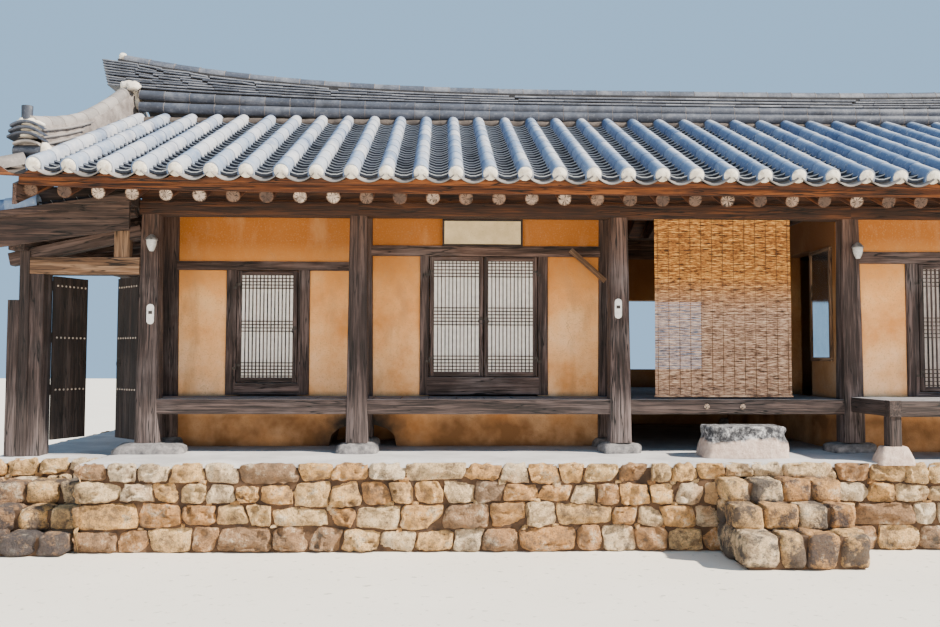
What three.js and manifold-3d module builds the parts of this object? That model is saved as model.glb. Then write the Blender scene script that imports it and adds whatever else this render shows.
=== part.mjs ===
// Hanok: a tiled-roof timber house of five bays on a stone podium, with a lean-to gate bay.
// Millimetres, +X to the right along the front, +Y to the back, +Z up.
// The origin is on the ground, under the ridge, in the middle of the open hall.
import * as THREE from 'three';
import { mergeVertices } from 'three/addons/utils/BufferGeometryUtils.js';
import Module from 'manifold-3d';

const wasm = await Module();
wasm.setup();

// Driving dimensions
const SEAT = 0.3; // gap between two pieces that touch
const COLUMN_X = [-5610, -3640, -1130, 1130, 3640, 5610];
const FRONT_Y = -1850; // line of the front columns
const PORCH_Y = -1200; // line of the columns behind the porch
const BACK_Y = 1850; // line of the back columns
const PODIUM_TOP = 766;
const BASE_STONE = 96; // height of a column's base stone
const COLUMN_FOOT = PODIUM_TOP + BASE_STONE;
const FOOT_HALF = 105; // half the width of a column at its foot
const HEAD_HALF = 84; // and at its head
const BEAM_BOTTOM = 3020;
const BEAM_TOP = 3150;
const CROSS_BEAM_TOP = 3330;
const SLOPE = 0.4327; // rise of the roof for each millimetre inwards
const RAFTER_RADIUS = 58;
const RAFTER_END_Y = 2600; // from the ridge line to the rafter's sawn end
const RAFTER_END_Z = 3078;
const RAFTER_COUNT = 45;
const RAFTER_REACH = 6430; // from the middle of the house to the last rafter
const BOARD = 25; // boards on the rafters
const FASCIA_Y = 2700;
const PURLIN_RADIUS = 75;
const PURLIN_REACH = 6480;
const BED_REACH = 6640; // half the length of the tiled roof
const BED_EDGE_Y = 2760;
const BED_EDGE_Z = 3187;
const EAVE_Y = 2800; // from the ridge line to the ends of the tiles
const EAVE_RISE = 60; // the eave climbs this much towards the gables
const DECK_TOP = 1275;
const DECK_BOARD = 45;
const DECK_BEAM = 146; // depth of a deck's edge beam
const FLOOR_TOP = 1250; // heated floor inside the rooms
const WALL_SETBACK = 60; // from a column line out to the wall's face
const WALL_INNER = 140; // and from the column line in to its other face
const LEAF_GAP = 6; // running gap round a door leaf
const MEETING_GAP = 8; // gap between two leaves that meet
const LEAF = 36; // thickness of a lattice leaf
const GATE_LEAF = 45; // thickness of a plank leaf

const secant = Math.hypot(1, SLOPE);
const leftRoom = [COLUMN_X[0], COLUMN_X[2]];
const rightRoom = [COLUMN_X[3], COLUMN_X[5]];

// Materials
function finish(color, roughness, metalness = 0) {
  return new THREE.MeshStandardMaterial({ color, roughness, metalness });
}
const fieldStone = finish(0xb39a7c, 0.95);
const dressedStone = finish(0x9b9891, 0.9);
const timber = finish(0x4b3a30, 0.85);
const deckTimber = finish(0x7a6658, 0.85);
const paleTimber = finish(0x8a6a4c, 0.85);
const plaster = finish(0xd39a5e, 0.95);
const roofTile = finish(0x5d6472, 0.7);
const reed = finish(0xb58a5a, 0.9);
const signPaint = finish(0xe6dcc4, 0.7);
const mirrorGlass = finish(0xa8b4ba, 0.1, 0.6);

const house = new THREE.Group();

// Geometry helpers
function toSolid(geometry) {
  const bare = geometry.clone();
  for (const name of Object.keys(bare.attributes)) {
    if (name !== 'position') bare.deleteAttribute(name);
  }
  const merged = mergeVertices(bare, 1e-3);
  const mesh = new wasm.Mesh({
    numProp: 3,
    vertProperties: new Float32Array(merged.attributes.position.array),
    triVerts: new Uint32Array(merged.index.array),
  });
  return new wasm.Manifold(mesh);
}

function toGeometry(solid) {
  const mesh = solid.getMesh();
  const geometry = new THREE.BufferGeometry();
  const points = new Float32Array(mesh.vertProperties);
  geometry.setAttribute('position', new THREE.BufferAttribute(points, 3));
  geometry.setIndex(new THREE.BufferAttribute(new Uint32Array(mesh.triVerts), 1));
  return geometry;
}

function add(name, solid, material) {
  const mesh = new THREE.Mesh(toGeometry(solid), material);
  mesh.name = name;
  house.add(mesh);
  return mesh;
}

function box(x0, x1, y0, y1, z0, z1) {
  const geometry = new THREE.BoxGeometry(x1 - x0, y1 - y0, z1 - z0);
  geometry.translate((x0 + x1) / 2, (y0 + y1) / 2, (z0 + z1) / 2);
  return toSolid(geometry);
}

function join(solids) {
  return solids.reduce((whole, piece) => whole.add(piece));
}

function cut(solid, tools) {
  return tools.reduce((whole, tool) => whole.subtract(tool), solid);
}

// Area of a flat outline, positive when it runs anticlockwise.
function signedArea(points) {
  return points.reduce((sum, p, i) => {
    const q = points[(i + 1) % points.length];
    return sum + (p.x * q.y - q.x * p.y) / 2;
  }, 0);
}

// Drops the coordinate that a ring hardly spans, so that its cap can be cut into triangles.
function flatten(ring) {
  const spans = [0, 1, 2].map((k) => {
    const values = ring.map((p) => p[k]);
    return Math.max(...values) - Math.min(...values);
  });
  const dropped = spans.indexOf(Math.min(...spans));
  const [u, v] = [0, 1, 2].filter((k) => k !== dropped);
  return ring.map((p) => new THREE.Vector2(p[u], p[v]));
}

// A closed body through a row of rings, each a list of points [x, y, z] in the same order.
// Each four-sided face is split along its shorter diagonal, so that faces that lie on each other agree.
function loft(rings) {
  const count = rings[0].length;
  const points = rings.flat().map((p) => new THREE.Vector3(...p));
  const triangles = [];
  for (let i = 0; i < rings.length - 1; i += 1) {
    for (let j = 0; j < count; j += 1) {
      const a = i * count + j;
      const b = i * count + ((j + 1) % count);
      const [c, d] = [b + count, a + count];
      const rising = points[a].distanceTo(points[c]) <= points[b].distanceTo(points[d]) + 1e-4;
      triangles.push(...(rising ? [[a, b, c], [a, c, d]] : [[a, b, d], [b, c, d]]));
    }
  }
  const outline = flatten(rings[0]);
  const turn = Math.sign(signedArea(outline));
  const last = (rings.length - 1) * count;
  for (const [a, b, c] of THREE.ShapeUtils.triangulateShape(outline, [])) {
    const same = Math.sign(signedArea([outline[a], outline[b], outline[c]])) === turn;
    const [p, q] = same ? [b, c] : [c, b];
    triangles.push([a, q, p], [last + a, last + p, last + q]);
  }
  const volume = triangles.reduce(
    (sum, [a, b, c]) => sum + points[a].dot(points[b].clone().cross(points[c])),
    0,
  );
  const outward = volume > 0 ? triangles : triangles.map(([a, b, c]) => [a, c, b]);
  const geometry = new THREE.BufferGeometry();
  const positions = new Float32Array(rings.flat(2));
  geometry.setAttribute('position', new THREE.BufferAttribute(positions, 3));
  geometry.setIndex(outward.flat());
  return toSolid(geometry);
}

// A prism along X from x0 to x1 over an outline of [y, z] points.
function prismX(outline, x0, x1) {
  return loft([x0, x1].map((x) => outline.map(([y, z]) => [x, y, z])));
}

// A prism along Y from y0 to y1 over an outline of [x, z] points.
function prismY(outline, y0, y1) {
  return loft([y0, y1].map((y) => outline.map(([x, z]) => [x, y, z])));
}

// A round bar from one point to another.
function bar(from, to, radius, sides) {
  const start = new THREE.Vector3(...from);
  const run = new THREE.Vector3(...to).sub(start);
  const geometry = new THREE.CylinderGeometry(radius, radius, run.length(), sides);
  geometry.translate(0, run.length() / 2, 0);
  const along = new THREE.Vector3(0, 1, 0);
  geometry.applyQuaternion(new THREE.Quaternion().setFromUnitVectors(along, run.normalize()));
  geometry.translate(start.x, start.y, start.z);
  return toSolid(geometry);
}

// A square post that tapers from its foot to its head.
function taperedPost(x, y, z0, z1, foot, head) {
  const ring = (z, half) => [
    [x - half, y - half, z],
    [x + half, y - half, z],
    [x + half, y + half, z],
    [x - half, y + half, z],
  ];
  return loft([ring(z0, foot), ring(z1, head)]);
}

// Numbers spread evenly from first to last.
function spread(first, last, count) {
  return Array.from({ length: count }, (_, i) => first + ((last - first) * i) / (count - 1));
}

// Roof surfaces: y is the distance from the ridge line, always positive.
// The eave climbs towards the gables, straight from one station to the next, and the ridge does not.
const STATIONS = [0, 3000, 4200, 5000, 5600, 6100, 6490, BED_REACH, 6700];
const liftPoints = STATIONS.map((x) => EAVE_RISE * (x / BED_REACH) ** 6);

function lift(x, y) {
  const far = Math.abs(x);
  const i = Math.min(STATIONS.findIndex((s) => s > far), STATIONS.length - 1);
  const t = (far - STATIONS[i - 1]) / (STATIONS[i] - STATIONS[i - 1]);
  return ((1 - t) * liftPoints[i - 1] + t * liftPoints[i]) * (y / EAVE_Y);
}

function rafterAxis(y) {
  return RAFTER_END_Z + SLOPE * (RAFTER_END_Y - y);
}

const boardBottom = (y) => rafterAxis(y) + (RAFTER_RADIUS - 8) * secant;
const boardTop = (y) => boardBottom(y) + BOARD;
const bedTop = (y) => BED_EDGE_Z + SLOPE * (BED_EDGE_Y - y);
const rafterUnder = (y) => rafterAxis(y) - RAFTER_RADIUS * secant;

// Columns and the spaces cut for them. Those behind the porch stand on the podium itself.
function column(x, y, z1, foot = COLUMN_FOOT) {
  return taperedPost(x, y, foot + SEAT, z1, FOOT_HALF, HEAD_HALF);
}
function columnSpace(x, y, z1, foot = COLUMN_FOOT) {
  return taperedPost(x, y, foot + SEAT - 1, z1 + 1, FOOT_HALF + SEAT, HEAD_HALF + SEAT);
}

const frontSpaces = COLUMN_X.map((x) => columnSpace(x, FRONT_Y, BEAM_BOTTOM - SEAT));
const porchSpaces = COLUMN_X.slice(0, 3).map((x) => columnSpace(x, PORCH_Y, BEAM_TOP, PODIUM_TOP));
const backSpaces = COLUMN_X.map((x) => columnSpace(x, BACK_Y, BEAM_BOTTOM));

// Base stones: [x, y, half width, half depth]
const baseStones = [
  [-5600, FRONT_Y - 20, 340, 190],
  [-3640, FRONT_Y, 205, 185],
  [-1130, FRONT_Y, 200, 180],
  [1130, FRONT_Y + 20, 225, 185],
  [3640, FRONT_Y, 205, 185],
  [5610, FRONT_Y, 225, 185],
  ...COLUMN_X.map((x) => [x, BACK_Y, 190, 180]),
];

function baseStone([x, y, halfX, halfY], grow = 0) {
  const ring = (z, inset) => [
    [x - halfX + inset - grow, y - halfY + inset - grow, z],
    [x + halfX - inset + grow, y - halfY + inset - grow, z],
    [x + halfX - inset + grow, y + halfY - inset + grow, z],
    [x - halfX + inset - grow, y + halfY - inset + grow, z],
  ];
  return loft([ring(PODIUM_TOP - 30, 0), ring(PODIUM_TOP + 60, 12), ring(COLUMN_FOOT + grow, 45)]);
}

// Right deck's short posts stand on flared stones of their own.
const RIGHT_DECK_FRONT = -2700;
const RIGHT_DECK_TOP = 1300;
const SHORT_POST_X = [1150, 2660, 4170, 5555];
const SHORT_POST_Y = -2628;
const SHORT_POST_HALF = 58;
const SHORT_STONE = 130;

function flaredStone(x) {
  const ring = (z, halfX, halfY) => [
    [x - halfX, SHORT_POST_Y - halfY, z],
    [x + halfX, SHORT_POST_Y - halfY, z],
    [x + halfX, SHORT_POST_Y + halfY, z],
    [x - halfX, SHORT_POST_Y + halfY, z],
  ];
  return loft([ring(PODIUM_TOP - 30, 165, 90), ring(PODIUM_TOP + SHORT_STONE, 110, 75)]);
}

// Podium: one mass of masonry under the house, and a lower one under the gate bay
const PODIUM_HALF = 5970;
const PODIUM_FRONT = -2720;
const PODIUM_BACK = 2450;
const GATE_FLOOR = 740;
const GATE_LEFT = -7080;
const GATE_FRONT = -2060;

function podium() {
  return join([
    box(-PODIUM_HALF, PODIUM_HALF, PODIUM_FRONT, PODIUM_BACK, 0, PODIUM_TOP),
    ...baseStones.map((stone) => baseStone(stone)),
    ...SHORT_POST_X.map(flaredStone),
  ]);
}
add('podium', podium(), fieldStone);
const besidePodium = -PODIUM_HALF - SEAT;
add('gate_floor', box(GATE_LEFT, besidePodium, GATE_FRONT, PODIUM_BACK, 0, GATE_FLOOR), fieldStone);

// Steps: each is [top, front edge]
function flight(x0, x1, back, steps) {
  return join(steps.map(([top, front]) => box(x0, x1, front, back, 0, top)));
}
const frontSteps = [[645, -2960], [470, -3200], [290, -3450]];
add('front_steps', flight(-465, 565, PODIUM_FRONT - SEAT, frontSteps), fieldStone);
const gateSteps = [[555, -2300], [370, -2570], [185, -2840]];
add('gate_steps', flight(GATE_LEFT, besidePodium, GATE_FRONT - SEAT, gateSteps), fieldStone);

function steppingStone() {
  const ring = (z, x0, x1, y0, y1) => [[x0, y0, z], [x1, y0, z], [x1, y1, z], [x0, y1, z]];
  const low = PODIUM_TOP + SEAT;
  return loft([ring(low, -465, 335, -2440, -2030), ring(1050, -400, 310, -2400, -2070)]);
}
add('stepping_stone', steppingStone(), dressedStone);

// Heated floors: masonry under the rooms, plastered on its face, with a fire hole at the left
const stoneSpaces = baseStones.map((stone) => baseStone(stone, SEAT));

function heatedFloor(x0, x1, front) {
  const mass = box(x0, x1, front, BACK_Y - WALL_INNER, PODIUM_TOP + SEAT, FLOOR_TOP);
  return cut(mass, [...frontSpaces, ...porchSpaces, ...backSpaces, ...stoneSpaces]);
}

function fireHole() {
  const arch = spread(0, Math.PI, 9).map((a) => [
    -3640 + 345 * Math.cos(a),
    PODIUM_TOP + 225 * Math.sin(a) ** 0.7,
  ]);
  return prismY([[-3985, PODIUM_TOP - 5], ...arch.reverse().slice(1, -1), [-3295, PODIUM_TOP - 5]],
    -1400, -560);
}
const leftFloor = heatedFloor(leftRoom[0] - 60, leftRoom[1] + 60, PORCH_Y - WALL_SETBACK);
add('heated_floor_left', cut(leftFloor, [fireHole()]), plaster);
const rightFloor = heatedFloor(rightRoom[0] - 60, rightRoom[1] + 60, FRONT_Y - WALL_SETBACK);
add('heated_floor_right', rightFloor, plaster);

// Front columns, each its own piece
COLUMN_X.forEach((x, i) => {
  add(`front_column_${i + 1}`, column(x, FRONT_Y, BEAM_BOTTOM - SEAT), timber);
});

// A purlin touches the undersides of the rafters.
function purlinHeight(y) {
  return rafterUnder(y) - PURLIN_RADIUS * secant - SEAT;
}

// Beam over a row of columns, with the round purlin on its bearing strip
function plateParts(y) {
  const z = purlinHeight(Math.abs(y));
  const ends = [-PURLIN_REACH, PURLIN_REACH];
  return [
    box(COLUMN_X[0] - 95, COLUMN_X[5] + 95, y - 95, y + 95, BEAM_BOTTOM, BEAM_TOP),
    box(COLUMN_X[0] - 95, COLUMN_X[5] + 95, y - 40, y + 40, BEAM_TOP - 2, z - PURLIN_RADIUS * 0.8),
    bar([ends[0], y, z], [ends[1], y, z], PURLIN_RADIUS, 12),
  ];
}
add('front_beam', join(plateParts(FRONT_Y)), timber);

const backColumns = COLUMN_X.map((x) => column(x, BACK_Y, BEAM_BOTTOM + 2));
add('back_frame', join([...backColumns, ...plateParts(BACK_Y)]), timber);

// Window in the hall's back wall: two rails from column to column, and two posts
const HALL_WINDOW = { left: -790, right: 790, bottom: 1515, top: 2455 };
const RAIL = 95;

function hallWindowFrame() {
  const { left, right, bottom, top } = HALL_WINDOW;
  const faces = [BACK_Y - 50, BACK_Y + 80];
  const frame = join([
    box(COLUMN_X[2], COLUMN_X[3], ...faces, bottom - RAIL, bottom),
    box(COLUMN_X[2], COLUMN_X[3], ...faces, top, top + RAIL),
    box(left - RAIL, left, ...faces, bottom - RAIL, top + RAIL),
    box(right, right + RAIL, ...faces, bottom - RAIL, top + RAIL),
  ]);
  return cut(frame, backSpaces);
}
add('hall_window_frame', hallWindowFrame(), timber);

// Porch frame: the inner columns and the thin plate on the porch wall
const PORCH_PLATE = 48;
function porchFrame() {
  const plate = box(leftRoom[0], leftRoom[1], PORCH_Y - 60, PORCH_Y + 60,
    BEAM_TOP - PORCH_PLATE, BEAM_TOP - SEAT);
  const columns = COLUMN_X.slice(0, 3).map((x) => column(x, PORCH_Y, BEAM_TOP - SEAT, PODIUM_TOP));
  return join([...columns, plate]);
}
add('porch_frame', porchFrame(), timber);

// Roof frame: cross beams, king posts and the ridge purlin
const CROSS_HALF = 85;
const CROSS_END = BACK_Y - PURLIN_RADIUS - SEAT;
const RIDGE_PURLIN_Z = purlinHeight(0);

function crossBeam(x, grow = 0) {
  const half = CROSS_HALF + grow;
  const end = CROSS_END + grow;
  const bottom = BEAM_TOP + SEAT - grow;
  return box(x - half, x + half, -end, end, bottom, CROSS_BEAM_TOP + grow);
}
function kingPost(x, grow = 0) {
  const half = 70 + grow;
  return box(x - half, x + half, -half, half, CROSS_BEAM_TOP - 2, RIDGE_PURLIN_Z - 20);
}
function ridgePurlin(grow = 0) {
  const reach = PURLIN_REACH + grow;
  return bar([-reach, 0, RIDGE_PURLIN_Z], [reach, 0, RIDGE_PURLIN_Z], PURLIN_RADIUS + grow, 12);
}
add('roof_frame', join([
  ...COLUMN_X.map((x) => crossBeam(x)),
  ...COLUMN_X.map((x) => kingPost(x)),
  ridgePurlin(),
]), timber);
const roofFrameSpaces = [
  ...COLUMN_X.map((x) => crossBeam(x, SEAT)),
  ...COLUMN_X.map((x) => kingPost(x, SEAT)),
  ridgePurlin(SEAT + 0.5),
  box(-PURLIN_REACH, PURLIN_REACH, -76, 76, RIDGE_PURLIN_Z, RIDGE_PURLIN_Z + 200),
];

// Rafters with the boards and the fascia that they carry
function mirrored(reach) {
  const half = [...STATIONS.slice(1).filter((x) => x < reach), reach];
  return [...half.map((x) => -x).reverse(), 0, ...half];
}

// Sweeps an outline of [distance from the ridge, height] along X on one side of the roof.
function sweepRoof(outline, reach, side) {
  return loft(mirrored(reach).map((x) => outline.map(([y, z]) => [x, side * y, z + lift(x, y)])));
}

function rafters(side) {
  const near = 4;
  const boards = sweepRoof([
    [FASCIA_Y, 3102], [FASCIA_Y, 3170], [FASCIA_Y - 42, 3170], [FASCIA_Y - 42, boardTop(FASCIA_Y - 42)],
    [near, boardTop(near)], [near, boardBottom(near)],
    [FASCIA_Y - 42, boardBottom(FASCIA_Y - 42)], [FASCIA_Y - 42, 3102],
  ], RAFTER_REACH + 60, side);
  const logs = spread(-RAFTER_REACH, RAFTER_REACH, RAFTER_COUNT).map((x) => {
    const end = [x, side * RAFTER_END_Y, RAFTER_END_Z + lift(x, RAFTER_END_Y)];
    return bar(end, [x, side * 34, rafterAxis(34)], RAFTER_RADIUS, 8);
  });
  return join([boards, ...logs]);
}
add('rafters_front', rafters(-1), timber);
add('rafters_back', rafters(1), timber);

// Clay bed that carries the tiles, over both slopes
function roofBed() {
  const lip = 3170 + SEAT;
  const half = [
    [BED_EDGE_Y, BED_EDGE_Z], [BED_EDGE_Y, lip], [FASCIA_Y - 42 - SEAT, lip],
    [FASCIA_Y - 42 - SEAT, boardTop(FASCIA_Y - 42) + SEAT], [0, boardTop(0) + SEAT],
  ];
  const other = half.slice(0, 4).reverse().map(([y, z]) => [-y, z]);
  const outline = [...half, ...other, [0, bedTop(0)]];
  return loft(mirrored(BED_REACH).map((x) => outline.map(([y, z]) => [x, y, z + lift(x, Math.abs(y))])));
}
const bed = roofBed();

// Rows of convex tiles, each a low rib from the ridge to the eave
const RIDGE_FOOT_HALF = 170;
const VERGE_RIDGE = [6372, 6600];
const TILE_PITCH = 300;
const TILE_SHIFT = -24; // from the middle of the house to the middle row
const TILE_ROWS = 43;
const TILE_SECTION = [[-75, -10], [-75, 100], [-44, 162], [44, 162], [75, 100], [75, -10]];

function tileRow(x, side) {
  const limit = VERGE_RIDGE[0] - SEAT;
  return loft([RIDGE_FOOT_HALF + SEAT, BED_EDGE_Y].map((y) => {
    const base = bedTop(y) + lift(x, y);
    return TILE_SECTION.map(([across, up]) => [Math.max(x + across, -limit), side * y, base + up]);
  }));
}

function tileRows() {
  const reach = (TILE_PITCH * (TILE_ROWS - 1)) / 2;
  const places = spread(TILE_SHIFT - reach, TILE_SHIFT + reach, TILE_ROWS);
  return places.flatMap((x) => [tileRow(x, -1), tileRow(x, 1)]);
}
add('roof_bed', join([bed, ...tileRows()]), roofTile);

// What stands on the bed is cut to its surface.
const SUNK = 20;
const seatOnBed = (solid) => solid.subtract(bed.translate([0, 0, SEAT]));

// Main ridge: two rows of tubes at its foot, flat tiles that fan out at the ends, and a cap
const RIDGE_FOOT_REACH = 6340;
const RIDGE_REACH = 6700;
const fanRise = (x) => 150 * (Math.abs(x) / 6400) ** 3;
const capRise = (x) => 370 * (Math.abs(x) / 6630) ** 3.5;

function mainRidge() {
  const foot = loft(mirrored(RIDGE_FOOT_REACH).map((x) => {
    const top = 4692 + fanRise(x);
    const half = RIDGE_FOOT_HALF;
    return [
      [x, -half, bedTop(half) - SUNK], [x, 0, bedTop(0) - SUNK], [x, half, bedTop(half) - SUNK],
      [x, half, 4600], [x, half - 20, top], [x, 20 - half, top], [x, -half, 4600],
    ];
  }));
  const layers = loft(mirrored(RIDGE_REACH).map((x) => {
    const low = 4688 + fanRise(x);
    const high = 4803 + capRise(x);
    const tip = x * (1 + 90 / RIDGE_REACH);
    return [
      [x, -165, low], [x, 165, low], [tip, 165, high], [tip, 75, high], [tip, 52, high + 31],
      [tip, 0, high + 42], [tip, -52, high + 31], [tip, -75, high], [tip, -165, high],
    ];
  }));
  return seatOnBed(foot.add(layers));
}
add('main_ridge', mainRidge(), roofTile);

// Descending ridge over each gable, from eave to eave, passing under the main ridge's end
const VERGE_END = 2520;
const vergeHeights = [[0, 455], [200, 470], [450, 415], [700, 380], [1050, 340], [1400, 325],
  [1750, 340], [2050, 375], [2300, 415], [VERGE_END, 450]];

function vergeRidge(side) {
  const half = [...vergeHeights].reverse().map(([y, height]) => [-y, height]);
  const rows = [...half, ...vergeHeights.slice(1)];
  return seatOnBed(loft(rows.map(([y, height]) => {
    const d = Math.abs(y);
    const [x0, x1] = VERGE_RIDGE.map((x) => side * x);
    const base = bedTop(d) + lift(x1, d);
    const [low, high] = [base - SUNK, base + height];
    return [[x0, y, low], [x1, y, low], [x1, y, high], [x0, y, high]];
  })));
}
add('verge_ridge_left', vergeRidge(-1), roofTile);
add('verge_ridge_right', vergeRidge(1), roofTile);

// Bargeboards: a pair on each gable, meeting at the top
const BARGE_X = [RAFTER_REACH + 60 + SEAT, RAFTER_REACH + 95 + SEAT];
const BARGE_DEPTH = 230;

function bargeboards(side) {
  const foot = 2730;
  const top = (y) => boardTop(y) + lift(BARGE_X[0], y) - 1;
  const outline = [
    [-foot, top(foot)], [0, top(0)], [foot, top(foot)],
    [foot, top(foot) - BARGE_DEPTH + 50], [0, top(0) - BARGE_DEPTH], [-foot, top(foot) - BARGE_DEPTH + 50],
  ];
  return prismX(outline, ...BARGE_X.map((x) => side * x));
}
add('bargeboards_left', bargeboards(-1), timber);
add('bargeboards_right', bargeboards(1), timber);

// Decks: boards with an edge beam
const DECK_FACE = FRONT_Y - 90;
const partitionFace = 60; // half the thickness of the foot of a partition

function deckBoards(x0, x1, y1) {
  const beam = box(x0, x1, DECK_FACE, DECK_FACE + 90, DECK_TOP - DECK_BEAM, DECK_TOP - 2);
  return beam.add(box(x0, x1, DECK_FACE, y1, DECK_TOP - DECK_BOARD, DECK_TOP));
}
const deckSpaces = [...frontSpaces, ...porchSpaces];
const hallLeft = COLUMN_X[2] + partitionFace + SEAT;
const hallRight = COLUMN_X[3] - partitionFace - SEAT;
const porchDeck = deckBoards(COLUMN_X[0] - 60, hallLeft - 2 * SEAT, PORCH_Y - WALL_SETBACK - SEAT);
add('porch_deck', cut(porchDeck, deckSpaces), deckTimber);
const hallDeck = deckBoards(hallLeft, hallRight, BACK_Y - WALL_INNER - SEAT);
add('hall_deck', cut(hallDeck, deckSpaces), deckTimber);

function rightDeck() {
  const [x0, x1] = [1095, 5610];
  const [y0, y1] = [RIGHT_DECK_FRONT, FRONT_Y - WALL_SETBACK - SEAT];
  const low = RIGHT_DECK_TOP - DECK_BEAM;
  const stoneTop = PODIUM_TOP + SHORT_STONE + SEAT;
  const posts = SHORT_POST_X.map((x) => box(x - SHORT_POST_HALF, x + SHORT_POST_HALF,
    SHORT_POST_Y - SHORT_POST_HALF, SHORT_POST_Y + SHORT_POST_HALF, stoneTop, low + 2));
  const deck = join([
    box(x0, x1, y0, y1, RIGHT_DECK_TOP - DECK_BOARD, RIGHT_DECK_TOP),
    box(x0, x1, y0, y0 + 90, low, RIGHT_DECK_TOP - 2),
    box(x0, x0 + 110, y0, FRONT_Y - HEAD_HALF, low, RIGHT_DECK_TOP - 2),
    box(x1 - 110, x1, y0, FRONT_Y - HEAD_HALF, low, RIGHT_DECK_TOP - 2),
    ...posts,
  ]);
  return cut(deck, frontSpaces);
}
add('right_deck', rightDeck(), deckTimber);

// Doors: openings between jambs, below a rail that runs from column to column
const doors = {
  1: { bay: [COLUMN_X[0], COLUMN_X[1]], open: [-4929, -4309], jambs: [-5038, -4190],
    sill: [1285, 1410], rail: [2553, 2648], line: PORCH_Y, leaves: 1 },
  2: { bay: [COLUMN_X[1], COLUMN_X[2]], open: [-2970, -1853], jambs: [-3066, -1746],
    sill: [1286, 1473], rail: [2709, 2821], line: PORCH_Y, leaves: 2 },
  4: { bay: [COLUMN_X[3], COLUMN_X[4]], open: [1783, 2987], jambs: [1665, 3105],
    sill: [1302, 1346], rail: [2588, 2706], line: FRONT_Y, leaves: 2 },
  5: { bay: [COLUMN_X[4], COLUMN_X[5]], open: [4309, 4929], jambs: [4190, 5038],
    sill: [1302, 1410], rail: [2588, 2706], line: FRONT_Y, leaves: 0 },
};
const FRAME_PROUD = 90; // from the column line out to the frame's face
const FRAME_INNER = 10; // and from the column line to its inner face, still outside it

// Iron hinges: on each, the leaf's knuckle stands on the frame's, in front of their faces.
const KNUCKLE = { radius: 8, height: 32, reach: 10, strap: 40, plate: 5 };

// Hinge lines of a door: [x, side on which the leaf lies]
function hingeLines(n) {
  const { open, leaves } = doors[n];
  const lines = [[open[0] + LEAF_GAP / 2, 1], [open[1] - LEAF_GAP / 2, -1]];
  return lines.slice(0, leaves);
}

function knuckles(n, [x, side], onLeaf) {
  const { sill, rail, line } = doors[n];
  const face = line - FRAME_PROUD;
  const span = rail[0] - sill[1];
  const way = onLeaf ? side : -side;
  return [0.14, 0.86].flatMap((share) => {
    const joint = sill[1] + share * span;
    const low = onLeaf ? joint + SEAT / 2 : joint - KNUCKLE.height;
    const high = onLeaf ? joint + KNUCKLE.height : joint - SEAT / 2;
    const axisY = face - KNUCKLE.reach;
    const [x0, x1] = [x, x + way * KNUCKLE.strap].sort((a, b) => a - b);
    return [
      bar([x, axisY, low], [x, axisY, high], KNUCKLE.radius, 8),
      box(x0, x1, face - KNUCKLE.plate, face + 1, low, high),
    ];
  });
}

function doorFrame(n, grow = 0) {
  const { bay, open, jambs, sill, rail, line } = doors[n];
  const y = [line - FRAME_PROUD - grow, line - FRAME_INNER + grow];
  const parts = [
    box(bay[0] + 60, bay[1] - 60, ...y, rail[0] - grow, rail[1] + grow),
    box(jambs[0] - grow, open[0] + grow, ...y, sill[0] - grow, rail[0] + 2),
    box(open[1] - grow, jambs[1] + grow, ...y, sill[0] - grow, rail[0] + 2),
    box(jambs[0] - grow, jambs[1] + grow, ...y, sill[0] - grow, sill[1] + grow),
  ];
  if (grow) return join(parts);
  const irons = hingeLines(n).flatMap((hinge) => knuckles(n, hinge, false));
  return cut(join([...parts, ...irons]), [...frontSpaces, ...porchSpaces]);
}
for (const n of [1, 2, 4]) add(`door_frame_${n}`, doorFrame(n), timber);

// A lattice leaf or panel: stiles and rails round a sunk field, closed behind with a thin sheet
function latticePanel(x0, x1, yFace, z0, z1) {
  const stile = 45;
  const body = box(x0, x1, yFace, yFace + LEAF, z0, z1);
  const field = box(x0 + stile, x1 - stile, yFace - 5, yFace + LEAF - 8, z0 + stile, z1 - stile);
  return body.subtract(field);
}
const windowPanel = latticePanel(doors[5].open[0] - 5, doors[5].open[1] + 5,
  FRONT_Y - FRAME_PROUD + 20, doors[5].sill[1] - 5, doors[5].rail[0] + 5);
add('window_5', doorFrame(5).add(windowPanel), timber);

// Door leaves, each hung at its outer corner on the frame's face
function doorLeaves(n, names) {
  const { open, sill, rail, line } = doors[n];
  const face = line - FRAME_PROUD;
  const [low, high] = [sill[1] + LEAF_GAP, rail[0] - LEAF_GAP];
  const middle = (open[0] + open[1]) / 2;
  const ends = names.length === 1
    ? [[open[0] + LEAF_GAP, open[1] - LEAF_GAP]]
    : [[open[0] + LEAF_GAP, middle - MEETING_GAP / 2], [middle + MEETING_GAP / 2, open[1] - LEAF_GAP]];
  names.forEach((name, i) => {
    const panel = latticePanel(ends[i][0], ends[i][1], face, low, high);
    add(name, join([panel, ...knuckles(n, hingeLines(n)[i], true)]), timber);
  });
}
doorLeaves(1, ['door_leaf_1']);
doorLeaves(2, ['door_leaf_2_left', 'door_leaf_2_right']);
doorLeaves(4, ['door_leaf_4_left', 'door_leaf_4_right']);

// Walls: plaster panels between the columns, with a skin behind the columns
const frameSpaces = [1, 2, 4, 5].map((n) => doorFrame(n, SEAT));
const porchPlateSpace = box(leftRoom[0] - 1, leftRoom[1] + 1, PORCH_Y - 60 - SEAT, PORCH_Y + 60 + SEAT,
  BEAM_TOP - PORCH_PLATE - SEAT, BEAM_TOP);
const timberSpaces = [...frontSpaces, ...porchSpaces, ...backSpaces, ...frameSpaces,
  ...roofFrameSpaces, porchPlateSpace];

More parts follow.
